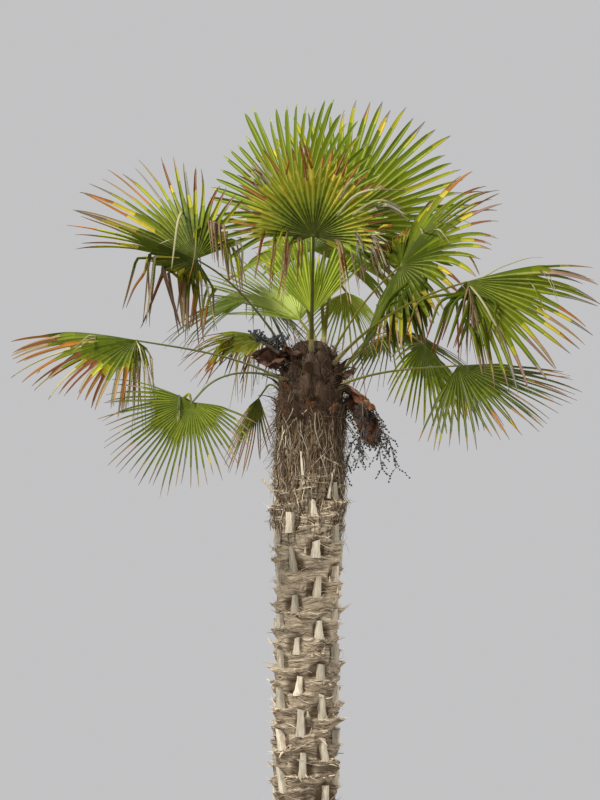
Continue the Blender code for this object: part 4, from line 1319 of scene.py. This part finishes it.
def trunk_material(settings):
    """Fibre with painted light on the mats' edges and painted shade in the hollows, darker in random patches and
    towards the bottom, younger below the head and dark on it.
    """
    made = bpy.data.materials.new("trunk_fibre")
    made.use_nodes = True
    tree = made.node_tree
    raised, shaggy = (add_node(tree, "ShaderNodeAttribute", attribute_name=label).outputs["Fac"]
                      for label in ("raised", "shaggy"))
    place = tree.nodes.new("ShaderNodeTexCoord").outputs["Object"]
    height = add_node(tree, "ShaderNodeSeparateXYZ", {"Vector": place}).outputs["Z"]
    patches = streaks(tree, place, (1.0, 1.0, 1.6), 11.0, 4.0)
    ragged = math_of(tree, "ADD", height, ranged(tree, patches, 0.3, 0.7, -0.09, 0.09))
    dark_head = ranged(tree, ragged, 2.27, 2.44)
    shade = mix_color(tree, shaggy, (*settings.fibre, 1.0), (*settings.shag, 1.0))
    shade = mix_color(tree, dark_head, shade, (*settings.head, 1.0))
    dark = mix_color(tree, dark_head, (*settings.crevice, 1.0), (0.012, 0.008, 0.006, 1.0))
    # Painted shade in the hollows, where the raised value is low, then darker random patches, then darker towards the
    # bottom.
    for part in (ranged(tree, raised, 0.02, 0.45, 1.0, 0.0), ranged(tree, patches, 0.50, 0.68, 0.0, 0.55),
                 ranged(tree, height, 1.0, 1.75, 0.52, 0.0)):
        shade = mix_color(tree, part, shade, dark)
    strands = add_node(tree, "ShaderNodeGroup", node_tree=fibre_strands())
    given = fill(tree, strands, {"Light": shade, "Dark": dark, "Upright": shaggy}).outputs
    bump = add_node(tree, "ShaderNodeBump", {"Height": given["Height"], "Strength": 1.0, "Distance": 0.007})
    fill(tree, tree.nodes["Principled BSDF"], {
        "Base Color": given["Color"], "Normal": bump.outputs[0], "Roughness": 0.92, "Specular IOR Level": 0.15})
    made.diffuse_color = (*settings.fibre, 1.0)
    return made


THREAD = ((-1.0, -0.5), (1.0, -0.5), (0.0, 1.0))
SHRED = ((-1.0, -1.0), (1.0, -1.0), (1.0, 1.0), (-1.0, 1.0))
FOLDED = ((-1.0, 0.5), (0.0, -0.6), (1.0, 0.5), (0.0, -0.2))


class Strands:
    """Slim closed strands with the same number of steps, gathered one by one and made one mesh."""

    def __init__(self, steps):
        self.parts = [k / (steps - 1) for k in range(steps)]
        self.ways, self.outs, self.widths, self.tones = [], [], [], []

    def add(self, way, outs, widths, tone=0):
        """A strand by step: its places, outward ways, or one for all, and half widths; slots by strand or stretch."""
        self.ways.append([place[:] for place in way])
        self.outs.append(np.broadcast_to(outs, (len(self.parts), 3)))
        self.widths.append(widths)
        self.tones.append(tone)

    def mesh(self, name, section=THREAD, depth=lambda widths: widths):
        """All the strands as one mesh; depth makes their half depths from their half widths."""
        ways, outs, widths = (np.array(rows, float) for rows in (self.ways, self.outs, self.widths))
        depths = depth(widths)
        count, steps, _ = ways.shape
        ahead = np.gradient(ways, axis=1)
        ahead /= np.linalg.norm(ahead, axis=2, keepdims=True) + 1e-12
        side = np.cross(outs, ahead)
        side /= np.linalg.norm(side, axis=2, keepdims=True) + 1e-12
        out = np.cross(ahead, side)
        corners = len(section)
        points = np.stack([ways + side * widths[..., None] * x + out * depths[..., None] * y for x, y in section],
                          axis=2).reshape(-1, 3)
        first = (np.arange(count) * steps * corners)[:, None, None]
        low = first + (np.arange(steps - 1) * corners)[None, :, None]
        high = low + corners
        a = np.arange(corners)[None, None, :]
        b = (a + 1) % corners
        quads = np.stack([low + a, low + b, high + b, high + a], axis=3).reshape(-1, 4)
        caps = first[:, 0] + np.arange(corners)
        faces = quads.tolist() + caps[:, ::-1].tolist() + (caps + (steps - 1) * corners).tolist()
        mesh = bpy.data.meshes.new(name)
        mesh.from_pydata(points.tolist(), [], faces)
        tones = np.array(self.tones)
        if tones.ndim == 1:
            tones = np.repeat(tones[:, None], steps - 1, axis=1)
        indices = np.concatenate([np.repeat(tones.reshape(-1), corners), tones[:, 0], tones[:, -1]])
        mesh.polygons.foreach_set("material_index", indices.astype(np.int32))
        mesh.update()
        mesh.shade_smooth()
        return mesh


def column_threads(surface, settings):
    """Loose threads wrapped round the column, some with an end that has come away."""
    rng = random.Random("threads")
    strands = Strands(8)
    swell = [math.sin(math.pi * min(0.98, max(0.02, part))) for part in strands.parts]
    for _ in range(settings.threads):
        height = rng.uniform(0.06, 2.12)
        azimuth = rng.uniform(0, math.tau)
        reach = rng.uniform(0.25, 1.0)
        lit = surface.lit(azimuth + reach / 2, height)
        if lit < 0.35 and rng.random() < 0.8:
            continue
        slope = rng.gauss(0, 0.028)
        sag = rng.uniform(-0.012, 0.008)
        proud = rng.uniform(0.0002, 0.0035)
        loose = rng.random() < 0.16
        stand = rng.uniform(0.008, 0.030)
        spots = [azimuth + reach * part for part in strands.parts]
        way = []
        for part, spot in zip(strands.parts, spots):
            level = height + slope * part * reach + sag * math.sin(math.pi * part)
            away = stand * max(0.0, part - 0.7) / 0.3 if loose else 0.0
            way.append(surface.at(spot, max(0.01, level), proud + away))
        broad = lit > 0.5 and rng.random() < 0.25
        slim = rng.uniform(0.0013, 0.0028) if broad else rng.uniform(0.0004, 0.0012)
        bleached = (WEATHERED, WEATHERED, PALE if height > 1.4 else GREY, PALE, GREY)
        # Threads in the hollows get grey and dark tones as painted shade; those on the raised fibre are bleached.
        tone = rng.choice(bleached if lit > 0.4 else (GREY, GREY, DARK, DARK))
        strands.add(way, [outward(spot) for spot in spots], [slim * (0.35 + 0.65 * full) for full in swell], tone)
    return strands.mesh("column_threads")


def head_threads(surface, settings):
    """Upright threads and stray hairs on the shaggy part and the head."""
    rng = random.Random("head threads")
    strands = Strands(7)
    common = (WEATHERED, YOUNG, YOUNG, YOUNG, GREY, DARK, DARK)
    for _ in range(int(settings.threads * 0.5)):
        height = rng.uniform(1.93, 2.5)
        azimuth = rng.uniform(0, math.tau)
        reach = rng.uniform(0.05, 0.16)
        drift = rng.gauss(0, 0.16)
        loose = rng.random() < 0.35
        stand = rng.uniform(0.006, 0.035)
        spots = [azimuth + drift * part for part in strands.parts]
        way = [surface.at(spot, height - reach * part, 0.001 + (stand * part**2 if loose else 0.0))
               for part, spot in zip(strands.parts, spots)]
        slim = rng.uniform(0.0006, 0.0015)
        tone = DARK if height > 2.34 + rng.gauss(0, 0.05) else rng.choice(common)
        strands.add(way, [outward(spot) for spot in spots], [slim * (1 - 0.75 * part) for part in strands.parts], tone)
    return strands.mesh("head_threads")


def hanging_shreds(surface, settings):
    """Flat shreds of old sheaths that lie on the shaggy part and hang from it."""
    rng = random.Random("shreds")
    strands = Strands(7)
    for _ in range(settings.shreds):
        height = rng.uniform(1.98, 2.42)
        azimuth = rng.uniform(0, math.tau)
        reach = rng.uniform(0.04, 0.15)
        drift = rng.gauss(0, 0.20)
        stand = rng.uniform(0.002, 0.022)
        lift = rng.random() < 0.3
        spots = [azimuth + drift * part + 0.05 * math.sin(part * 5 + azimuth * 7) for part in strands.parts]
        way = [surface.at(spot, height - reach * (1 - part if lift else part), 0.002 + stand * part**1.5)
               for part, spot in zip(strands.parts, spots)]
        broad = rng.uniform(0.0010, 0.0032)
        tone = DARK if height > 2.38 + rng.gauss(0, 0.05) else rng.choice(SHRED_TONES)
        widths = [broad * (1 - 0.7 * part**2) for part in strands.parts]
        strands.add(way, [outward(spot) for spot in spots], widths, tone)
    return strands.mesh("hanging_shreds", SHRED, lambda widths: np.full_like(widths, 0.0007))


def lip_places(surface, rng, count):
    """Random places just under the mats' upper edges, where the surface drops back above them."""
    relief = surface.relief
    rows, columns = np.nonzero(relief[:-3] - relief[3:] > LIP_DROP)
    picks = rng.sample(range(len(rows)), min(count, len(rows)))
    return [(surface.azimuths[columns[k]], surface.heights[rows[k]]) for k in picks]


def mat_fringe(surface, settings):
    """Fibre ends that stick out along the mats' upper edges, a few of them broad and matted."""
    rng = random.Random("fringe")
    strands = Strands(5)
    for azimuth, height in lip_places(surface, rng, settings.fringe):
        broad = rng.random() < 0.22
        reach = rng.uniform(0.014, 0.036) if broad else rng.uniform(0.008, 0.028)
        climb = rng.uniform(-0.2, 0.7) if broad else rng.uniform(-0.5, 1.4)
        drift = rng.gauss(0, 0.10)
        curl = rng.uniform(-0.5, 0.5)
        way = [surface.at(azimuth + drift * part, max(0.02, height), reach * part - 0.004)
               + UP * (climb + curl * part) * reach * part for part in strands.parts]
        foot = rng.uniform(0.003, 0.0085) if broad else rng.uniform(0.0006, 0.0016)
        tone = rng.choice((WEATHERED, PALE, PALE) if height < 2.0 else (WEATHERED, YOUNG))
        strands.add(way, UP, [foot * (1 - part * 0.9) for part in strands.parts], tone)
    return strands.mesh("mat_fringe", depth=lambda widths: np.minimum(widths * 0.45, 0.0022))


def thread_materials(settings):
    """Tones of loose fibre, in the order of their slots."""
    pale = [min(1.0, c) for c in toned(settings.fibre, 1.25)]
    tones = {"weathered": settings.fibre, "pale": pale, "young": toned(settings.shag, 0.85),
             "dark": toned(settings.head, 1.5), "grey": toned(settings.fibre, 0.5)}
    return [mottled("thread_" + name, color, 0.5, 0.7, 90.0) for name, color in tones.items()]


def plain_block():
    """A unit block cut across its height and its width, to shape each leaf base from."""
    bm = bmesh.new()
    bmesh.ops.create_cube(bm, size=1.0)
    upright = [e for e in bm.edges if abs(e.verts[0].co.z - e.verts[1].co.z) > 0.5]
    bmesh.ops.subdivide_edges(bm, edges=upright, cuts=5, use_grid_fill=True)
    across = [e for e in bm.edges if abs(e.verts[0].co.y - e.verts[1].co.y) > 0.5]
    bmesh.ops.subdivide_edges(bm, edges=across, cuts=2, use_grid_fill=True)
    return mesh_from(bm, "plain_block")


def cut_leaf_bases():
    """The cut leaf bases: fibrous blocks that widen into the mat at their feet, with rough cut tops."""
    rng = random.Random("leaf bases")
    noise.seed_set(ROUGH_SEED)  # vector noise would start from the clock
    block_mesh = plain_block()
    bm = bmesh.new()
    for n, azimuth, height in cut_bases():
        tall = rng.uniform(0.056, 0.098)
        wide = rng.uniform(0.021, 0.032)
        proud = rng.uniform(0.001, 0.012)
        lean = rng.gauss(0, 0.10)
        shade = rng.choice((0, 0, 1, 2))
        taper = rng.uniform(0.62, 1.02)
        slant = rng.uniform(-0.14, 0.14)
        foot = height - LIP_BELOW - 0.006
        first = len(bm.verts)
        bm.from_mesh(block_mesh)
        bm.verts.ensure_lookup_table()
        block = bm.verts[first:]
        for vert in block:
            rise = vert.co.z + 0.5
            breadth = wide * (taper + (1.3 - taper) * (1 - rise) ** 2.2)
            outer = vert.co.x > 0
            crown = 1 - (2 * vert.co.y) ** 2
            reach = proud * (0.5 + 0.5 * rise) + 0.004 * crown if outer else -0.024
            place = foot + rise * tall + (slant * vert.co.y * wide * 2 if rise > 0.99 else 0.0)
            y = vert.co.y * breadth * (0.86 if outer else 1.0) + lean * tall * (rise - 0.3)
            rough = noise.noise_vector(Vector((vert.co.y * 5, vert.co.z * 7, n * 3.1))) * 0.0026
            vert.co = Vector((trunk_radius(height) + reach, y, place - trunk_axis(height).z)) + rough
        turn = Matrix.Rotation(azimuth, 4, "Z")
        bmesh.ops.transform(bm, matrix=Matrix.Translation(trunk_axis(height)) @ turn, verts=block)
        painted(block, shade)
    bmesh.ops.recalc_face_normals(bm, faces=bm.faces)
    for face in bm.faces:
        if face.normal.z > 0.6:
            face.material_index = 3
    return mesh_from(bm, "cut_leaf_bases", 50)


@dataclass(frozen=True)
class LongStub:
    """A longer cut stalk that is still on the trunk."""

    azimuth: float
    height: float
    length: float
    lean: float  # degrees off the trunk
    aside: float
    width: float


LONG_STUBS = (
    LongStub(-52, 2.01, 0.135, 5, 9, 0.028),
    LongStub(-100, 2.06, 0.120, 3, -4, 0.015),
    LongStub(-168, 2.02, 0.096, 44, 0, 0.021),
    LongStub(-172, 1.41, 0.060, 80, 0, 0.005),
    LongStub(60, 2.03, 0.110, 8, 4, 0.024),
    LongStub(120, 2.10, 0.120, 5, -6, 0.022),
)


def long_stubs(surface):
    """The longer stubs, each from the trunk's surface to its cut end."""
    bm = bmesh.new()
    parts = [k / 4 for k in range(5)]
    for stub in LONG_STUBS:
        azimuth, tilt = math.radians(stub.azimuth), math.radians(stub.lean)
        out = Vector(outward(azimuth))
        lead = out * math.sin(tilt) + UP * math.cos(tilt) + UP.cross(out) * math.tan(math.radians(stub.aside))
        foot = surface.at(azimuth, stub.height, 0.004)
        way = [foot + lead * stub.length * part for part in parts]
        carried_ring(bm, way, [stub.width * (0.60 - 0.24 * part) for part in parts], 8, lambda x, y: (x, y * 0.55))
    return mesh_from(bm, "long_stubs", 40)


def head_sheaths(surface):
    """Dark fibrous sheaths that wrap the foot of each leaf stalk."""
    rng = random.Random("sheaths")
    bm = bmesh.new()
    columns, rows = 8, 7
    feet = [(math.radians(f.foot[0]), f.foot[1]) for f in FRONDS]
    feet += [(rng.uniform(0, math.tau), rng.uniform(2.30, 2.46)) for _ in range(12)]
    for azimuth, height in feet:
        low = height - rng.uniform(0.12, 0.17)
        high = height + rng.uniform(0.02, 0.07)
        broad = rng.uniform(0.30, 0.46)
        stand = rng.uniform(0.008, 0.022)
        jag = [rng.uniform(-0.018, 0.012) for _ in range(columns + 1)]
        for vert, across, rise in sheet(bm, columns, rows):
            torn = jag[round((across + 1) / 2 * columns)] if rise > 0.99 else 0.0
            level = min(low + (high - low) * rise + torn, TRUNK_HEIGHT - 0.012)
            proud = -0.004 + stand * rise**1.5 + 0.008 * (1 - across**2) * rise
            vert.co = surface.at(azimuth + across * broad * (1 - 0.55 * rise**2), level, proud)
    return mesh_from(bm, "head_sheaths", 40)


def head_lobes(surface):
    """Torn, curled ends of sheaths that stand off the head, some dark and some rusty."""
    rng = random.Random("lobes")
    bm = bmesh.new()
    for n in range(LOBES):
        azimuth = n * GOLDEN_TURN + rng.uniform(-0.3, 0.3)
        height = rng.uniform(2.26, 2.54)
        long = rng.uniform(0.045, 0.105)
        broad = rng.uniform(0.010, 0.021)
        lean = math.radians(rng.uniform(4, 50))
        aside = rng.gauss(0, 0.25)
        out = Vector(outward(azimuth))
        along = UP.cross(out)
        foot = surface.at(azimuth, height, -0.004)
        for vert, across, rise in sheet(bm, 4, 6, 1 if n % 4 == 1 else 0):
            tilt = lean * (0.3 + 0.9 * rise)
            lead = out * math.sin(tilt) + UP * math.cos(tilt) + along * aside
            wide = broad * (1 - rise**3) ** 0.6 * (1.25 - 0.4 * rise)
            cup = -0.5 * across**2 * wide
            ripple = 0.002 * math.sin(9 * rise + 5 * across + n)
            vert.co = foot + lead * rise * long + along * across * wide + out * (cup + ripple)
    bmesh.ops.remove_doubles(bm, verts=bm.verts, dist=1e-5)
    return mesh_from(bm, "head_lobes", 50)


def head_fuzz(surface, settings):
    """Short hairs that stand up all over the head."""
    rng = random.Random("fuzz")
    strands = Strands(5)
    for _ in range(settings.fuzz):
        azimuth, height = rng.uniform(0, math.tau), rng.uniform(2.16, 2.58)
        out = Vector(outward(azimuth))
        foot = surface.at(azimuth, height, -0.002)
        lead = (out * rng.uniform(0.3, 1.2) + Vector([rng.gauss(0, 0.7) for _ in range(3)])).normalized()
        bend = Vector([rng.gauss(0, 0.5) for _ in range(3)])
        long = rng.uniform(0.015, 0.055)
        way = [foot + (lead + bend * part) * long * part for part in strands.parts]
        slim = rng.uniform(0.0005, 0.0012)
        tone = rng.choice((DARK, DARK, DARK, YOUNG, YOUNG))
        strands.add(way, (0.3, 0.2, 1.0), [slim * (1 - 0.8 * part) for part in strands.parts], tone)
    return strands.mesh("head_fuzz")


# The fruit stalks.


def stem_way(cluster):
    place = rooted(cluster.foot, STEM_SUNK)
    heading = Vector(cluster.lead).normalized()
    places = [place.copy()]
    for _ in range(STEM_STEPS):
        heading = (heading + DOWN * cluster.sag / STEM_STEPS).normalized()
        place = place + heading * cluster.reach / STEM_STEPS
        places.append(place)
    return places


def add_bract(bm, place, heading, turn, tear, long, old):
    """A thin boat-shaped bract that wraps the stem's foot and curls at its tip."""
    matrix = aimed(place, heading) @ Matrix.Rotation(turn, 4, "Z")
    for vert, across, rise in sheet(bm, 8, 14, 1 if old else 0):
        breadth = BRACT_SIZE[1] * 0.62 * math.sin(math.pi * min(0.96, 0.12 + 0.86 * rise)) ** 0.7
        wrap = across * 1.25
        y = (1 - math.cos(wrap)) * breadth - BRACT_SIZE[2] * 0.5 + BRACT_CURL * long * rise**2
        ripple = 0.004 * math.sin(rise * 15 + across * 4 + tear) + 0.002 * math.sin(rise * 37 + across * 9)
        frayed = 0.012 * math.sin(across * 9 + tear) * rise**3
        vert.co = matrix @ Vector((math.sin(wrap) * breadth, y + ripple, rise * long + frayed))


def pointing(azimuth, climb):
    """A unit vector from its azimuth and its climb, in degrees."""
    climb = math.radians(climb)
    return Vector(outward(math.radians(azimuth))) * math.cos(climb) + UP * math.sin(climb)


Growth = namedtuple("Growth", "stems twigs berries bracts")


def grow_clusters(settings):
    """Ways of the stems and twigs, places of the berries, and how each bract sits, by the solids' rule."""
    growth = Growth([], [], [], [])
    for cluster in CLUSTERS:
        rng = random.Random(cluster.seed)
        places = stem_way(cluster)
        growth.stems.append(places)
        for n in range(cluster.bracts):
            spot = n % (STEM_STEPS - 3) + 2
            way = (places[spot + 1] - places[spot]).normalized()
            lean = Vector((rng.uniform(-0.5, 0.5), rng.uniform(-0.5, 0.5), rng.uniform(-0.8, 0.2)))
            long = BRACT_SIZE[0] * settings.bract_length * (0.8 if cluster.name == "left" else 1.0)
            turn, tear = rng.uniform(0, math.tau), rng.uniform(0, math.tau)
            growth.bracts.append((places[spot], (way + lean).normalized(), turn, tear, long, True))
        for bract in BRACTS:
            if bract.cluster == cluster.name:
                growth.bracts.append((places[bract.spot], pointing(bract.azimuth, bract.climb),
                                      math.radians(bract.turn), rng.uniform(0, math.tau), bract.length, bract.old))
        for n in range(cluster.twigs):
            part = TWIGS_FROM + (1 - TWIGS_FROM) * n / (cluster.twigs - 1)
            spot = min(int(part * STEM_STEPS), STEM_STEPS - 1)
            start = places[spot].lerp(places[spot + 1], part * STEM_STEPS - spot)
            turn = n * GOLDEN_TURN
            out = Vector((math.cos(turn), math.sin(turn), rng.uniform(-0.2, 0.6)))
            reach = cluster.twig_length * rng.uniform(0.7, 1.2)
            elbow = start + (out + DOWN * cluster.hang).normalized() * reach * 0.5
            end = elbow + (out * (1 - cluster.hang) + DOWN * cluster.hang).normalized() * reach * 0.7
            way = [start.lerp(elbow, k / 3) for k in range(3)] + [elbow.lerp(end, k / 3) for k in range(4)]
            growth.twigs.append((way, TWIG_RADIUS))
            for k in range(SIDE_TWIGS):
                foot = way[min(1 + k * 6 // SIDE_TWIGS, 6)]
                angle = k * GOLDEN_TURN
                lead = Vector((math.cos(angle), math.sin(angle), rng.uniform(-0.4, 0.5)))
                lead = (lead + DOWN * cluster.hang * rng.uniform(0.5, 1.4)).normalized()
                long = cluster.twig_length * rng.uniform(0.16, 0.34)
                side = [foot + lead * long * s / 6 + DOWN * 0.02 * cluster.hang * (s / 6) ** 2 for s in range(7)]
                growth.twigs.append((side, SIDE_TWIG_RADIUS))
                for s in range(cluster.berries):
                    jitter = Vector([rng.uniform(-0.003, 0.003) for _ in range(3)])
                    growth.berries.append(side[2 + s * 4 // (cluster.berries - 1)] + jitter)
    return growth


def stems_mesh(stems):
    bm = bmesh.new()
    radii = [STEM_RADIUS * (1 - 0.5 * n / STEM_STEPS) for n in range(STEM_STEPS + 1)]
    for places in stems:
        carried_ring(bm, places, radii, 8)
    return mesh_from(bm, "fruit_stems", 40)


def twigs_mesh(twigs):
    strands = Strands(7)
    for way, slim in twigs:
        strands.add(way, (0.1, -0.3, 1.0), [slim * (1 - 0.5 * part) for part in strands.parts])
    return strands.mesh("fruit_twigs")


def bracts_mesh(plans):
    bm = bmesh.new()
    for plan in plans:
        add_bract(bm, *plan)
    bmesh.ops.remove_doubles(bm, verts=bm.verts, dist=1e-5)
    return mesh_from(bm, "bracts", 40)


def berries_mesh(berries, settings):
    rng = random.Random("berries")
    bm = bmesh.new()
    for place in berries:
        made = bmesh.ops.create_icosphere(bm, subdivisions=1, radius=settings.berry_size * rng.uniform(0.75, 1.1))
        squash = Matrix.Diagonal((1.0, 0.8, 0.9, 1.0))
        bmesh.ops.transform(bm, matrix=Matrix.Translation(place) @ squash, verts=made["verts"])
    for face in bm.faces:
        face.smooth = True
    return mesh_from(bm, "berries")


# The operators, one for each piece or group of like pieces.


class PALM_OT_blades(bpy.types.Operator):
    """Makes the pleated fan blade of every leaf"""

    bl_idname = "palm.blades"
    bl_label = "Fan blades"

    def execute(self, context):
        for frond in FRONDS:
            make_blade(frond, context.scene.palm_leaves)
        return {"FINISHED"}


class PALM_OT_loose(bpy.types.Operator):
    """Makes the broken and dead leaflets that hang from the blades"""

    bl_idname = "palm.loose"
    bl_label = "Loose leaflets"

    def execute(self, context):
        loose_leaflets()
        return {"FINISHED"}


class PALM_OT_petioles(bpy.types.Operator):
    """Makes the toothed leaf stalks"""

    bl_idname = "palm.petioles"
    bl_label = "Leaf stalks"

    def execute(self, context):
        for frond in FRONDS:
            make_petiole(frond, context.scene.palm_leaves)
        return {"FINISHED"}


class PALM_OT_trunk(bpy.types.Operator):
    """Makes the trunk's skin of overlapping mats"""

    bl_idname = "palm.trunk"
    bl_label = "Trunk"

    def execute(self, context):
        settings = context.scene.palm_trunk
        make_trunk_skin(trunk_surface(settings), settings)
        return {"FINISHED"}


class PALM_OT_fibre(bpy.types.Operator):
    """Makes the loose threads, fringes, shreds and hairs of the trunk"""

    bl_idname = "palm.fibre"
    bl_label = "Loose fibre"

    def execute(self, context):
        settings = context.scene.palm_trunk
        surface = trunk_surface(settings)
        threads = thread_materials(settings)
        for make in (column_threads, head_threads, hanging_shreds, mat_fringe, head_fuzz):
            mesh = make(surface, settings)
            add_piece(mesh.name, mesh, threads, "trunk_fibre")
        return {"FINISHED"}


class PALM_OT_leaf_bases(bpy.types.Operator):
    """Makes the cut leaf bases and the longer stubs"""

    bl_idname = "palm.leaf_bases"
    bl_label = "Leaf bases"

    def execute(self, context):
        settings = context.scene.palm_trunk
        finishes = [mottled(name, toned(settings.base, part), 0.48, 0.85, 24.0, (9.0, 9.0, 0.8), 0.75)
                    for name, part in BASE_TONES]
        finishes.append(mottled("leaf_base_cut", settings.cut, 0.5, 0.7, 120.0))
        add_piece("cut_leaf_bases", cut_leaf_bases(), finishes, "trunk_fibre")
        add_piece("long_stubs", long_stubs(trunk_surface(settings)), finishes[1:2], "trunk_fibre")
        return {"FINISHED"}


class PALM_OT_head(bpy.types.Operator):
    """Makes the dark sheaths round the youngest leaf stalks"""

    bl_idname = "palm.head"
    bl_label = "Head sheaths"

    def execute(self, context):
        settings = context.scene.palm_trunk
        surface = trunk_surface(settings)
        dark = mottled("sheath_fibre", toned(settings.head, 1.4), toned(settings.head, 0.5), 0.85, 110.0,
                       (3.0, 3.0, 0.4), 1.0)
        rusty = mottled("sheath_rusty", settings.rusty, 0.3, 0.85, 34.0, (3.0, 3.0, 0.5), 0.6)
        thickened(add_piece("head_sheaths", head_sheaths(surface), [dark], "trunk_fibre"), SHEATH_THICK)
        thickened(add_piece("head_lobes", head_lobes(surface), [dark, rusty], "trunk_fibre"), LOBE_THICK)
        return {"FINISHED"}


class PALM_OT_fruit(bpy.types.Operator):
    """Makes the fruit stalks and their twigs"""

    bl_idname = "palm.fruit"
    bl_label = "Fruit stalks"

    def execute(self, context):
        settings = context.scene.palm_fruit
        growth = grow_clusters(settings)
        brown = mottled("fruit_stem", settings.stem, 0.5, 0.6, 60.0)
        add_piece("fruit_stems", stems_mesh(growth.stems), [brown], "fruit_stalk", "fruit_right", "fruit_left")
        add_piece("fruit_twigs", twigs_mesh(growth.twigs), [brown], "fruit_stalk")
        return {"FINISHED"}


class PALM_OT_berries(bpy.types.Operator):
    """Makes the berries on the twigs"""

    bl_idname = "palm.berries"
    bl_label = "Berries"

    def execute(self, context):
        settings = context.scene.palm_fruit
        skin = mottled("berry_skin", settings.berry, settings.bloom, 0.8, 150.0)
        add_piece("berries", berries_mesh(grow_clusters(settings).berries, settings), [skin], "fruit_stalk")
        return {"FINISHED"}


class PALM_OT_bracts(bpy.types.Operator):
    """Makes the papery bracts on the fruit stalks"""

    bl_idname = "palm.bracts"
    bl_label = "Bracts"

    def execute(self, context):
        settings = context.scene.palm_fruit
        papers = [mottled(name, color, 0.3, 0.85, 30.0, (2.0, 2.0, 0.8), 0.6)
                  for name, color in (("bract_paper", settings.bract), ("bract_old", settings.old_bract))]
        thickened(add_piece("bracts", bracts_mesh(grow_clusters(settings).bracts), papers, "fruit_stalk"), BRACT_THICK)
        return {"FINISHED"}


def area_light(name, place, size, power):
    """A round lamp that points at the crown."""
    light = bpy.data.lights.new(name, "AREA")
    light.energy = power
    light.shape = "DISK"
    light.size = size
    lamp = bpy.data.objects.new(name, light)
    bpy.context.scene.collection.objects.link(lamp)
    lamp.location = place
    lamp.rotation_euler = (Vector(CROWN) - Vector(place)).to_track_quat("-Z", "Y").to_euler()


class PALM_OT_stage(bpy.types.Operator):
    """Sets the pale floor, the soft light and the camera"""

    bl_idname = "palm.stage"
    bl_label = "Stage"

    def execute(self, context):
        settings = context.scene.palm_stage
        bm = bmesh.new()
        bmesh.ops.create_circle(bm, segments=96, radius=settings.floor_radius, cap_ends=True)
        floor = bpy.data.objects.new("floor", mesh_from(bm, "floor"))
        context.scene.collection.objects.link(floor)
        floor.data.materials.append(mottled("floor_pale", settings.floor, 0.96, 0.5, 0.7))
        world = bpy.data.worlds.new("studio")
        world.use_nodes = True
        back = world.node_tree.nodes["Background"]
        back.inputs["Color"].default_value = (*settings.sky, 1.0)
        back.inputs["Strength"].default_value = settings.sky_power
        context.scene.world = world
        for lamp in LAMPS:
            area_light(*lamp)
        camera = bpy.data.cameras.new("camera")
        camera.sensor_fit = "VERTICAL"
        camera.sensor_height = 36.0
        camera.lens = settings.lens
        camera.clip_end = 100.0
        eye = bpy.data.objects.new("camera", camera)
        context.scene.collection.objects.link(eye)
        eye.location = (-settings.aim_right, -settings.camera_away, settings.camera_height)
        climb = math.atan((settings.aim_height - settings.camera_height) / settings.camera_away)
        eye.rotation_euler = (math.pi / 2 + climb, 0.0, 0.0)
        context.scene.camera = eye
        context.scene.view_settings.view_transform = "Standard"
        return {"FINISHED"}


class PALM_PT_panel(bpy.types.Panel):
    """Lists the palm's settings and its operators"""

    bl_idname = "PALM_PT_panel"
    bl_label = "Windmill palm"
    bl_space_type = "VIEW_3D"
    bl_region_type = "UI"
    bl_category = "Palm"

    def draw(self, context):
        for group, operators in PANEL_ROWS:
            box = self.layout.box()
            settings = getattr(context.scene, group)
            for label in settings.bl_rna.properties.keys():
                if label not in ("rna_type", "name"):
                    box.prop(settings, label)
            for operator in operators:
                box.operator(operator)


PANEL_ROWS = (
    ("palm_leaves", ("palm.blades", "palm.loose", "palm.petioles")),
    ("palm_trunk", ("palm.trunk", "palm.leaf_bases", "palm.fibre", "palm.head")),
    ("palm_fruit", ("palm.fruit", "palm.berries", "palm.bracts")),
    ("palm_stage", ("palm.stage",)),
)
SETTINGS = {"palm_leaves": PALM_PG_leaves, "palm_trunk": PALM_PG_trunk, "palm_fruit": PALM_PG_fruit,
            "palm_stage": PALM_PG_stage}
CLASSES = (*SETTINGS.values(), PALM_OT_stage, PALM_OT_trunk, PALM_OT_leaf_bases, PALM_OT_fibre, PALM_OT_head,
           PALM_OT_petioles, PALM_OT_blades, PALM_OT_loose, PALM_OT_fruit, PALM_OT_berries, PALM_OT_bracts,
           PALM_PT_panel)


def register():
    for cls in CLASSES:
        bpy.utils.register_class(cls)
    for name, group in SETTINGS.items():
        setattr(bpy.types.Scene, name, bpy.props.PointerProperty(type=group))


def unregister():
    for name in SETTINGS:
        delattr(bpy.types.Scene, name)
    for cls in reversed(CLASSES):
        bpy.utils.unregister_class(cls)


def main():
    register()
    for operator in ("stage", "trunk", "leaf_bases", "fibre", "head", "petioles", "blades", "loose", "fruit", "berries",
                     "bracts"):
        getattr(bpy.ops.palm, operator)()


if __name__ == "__main__":
    main()
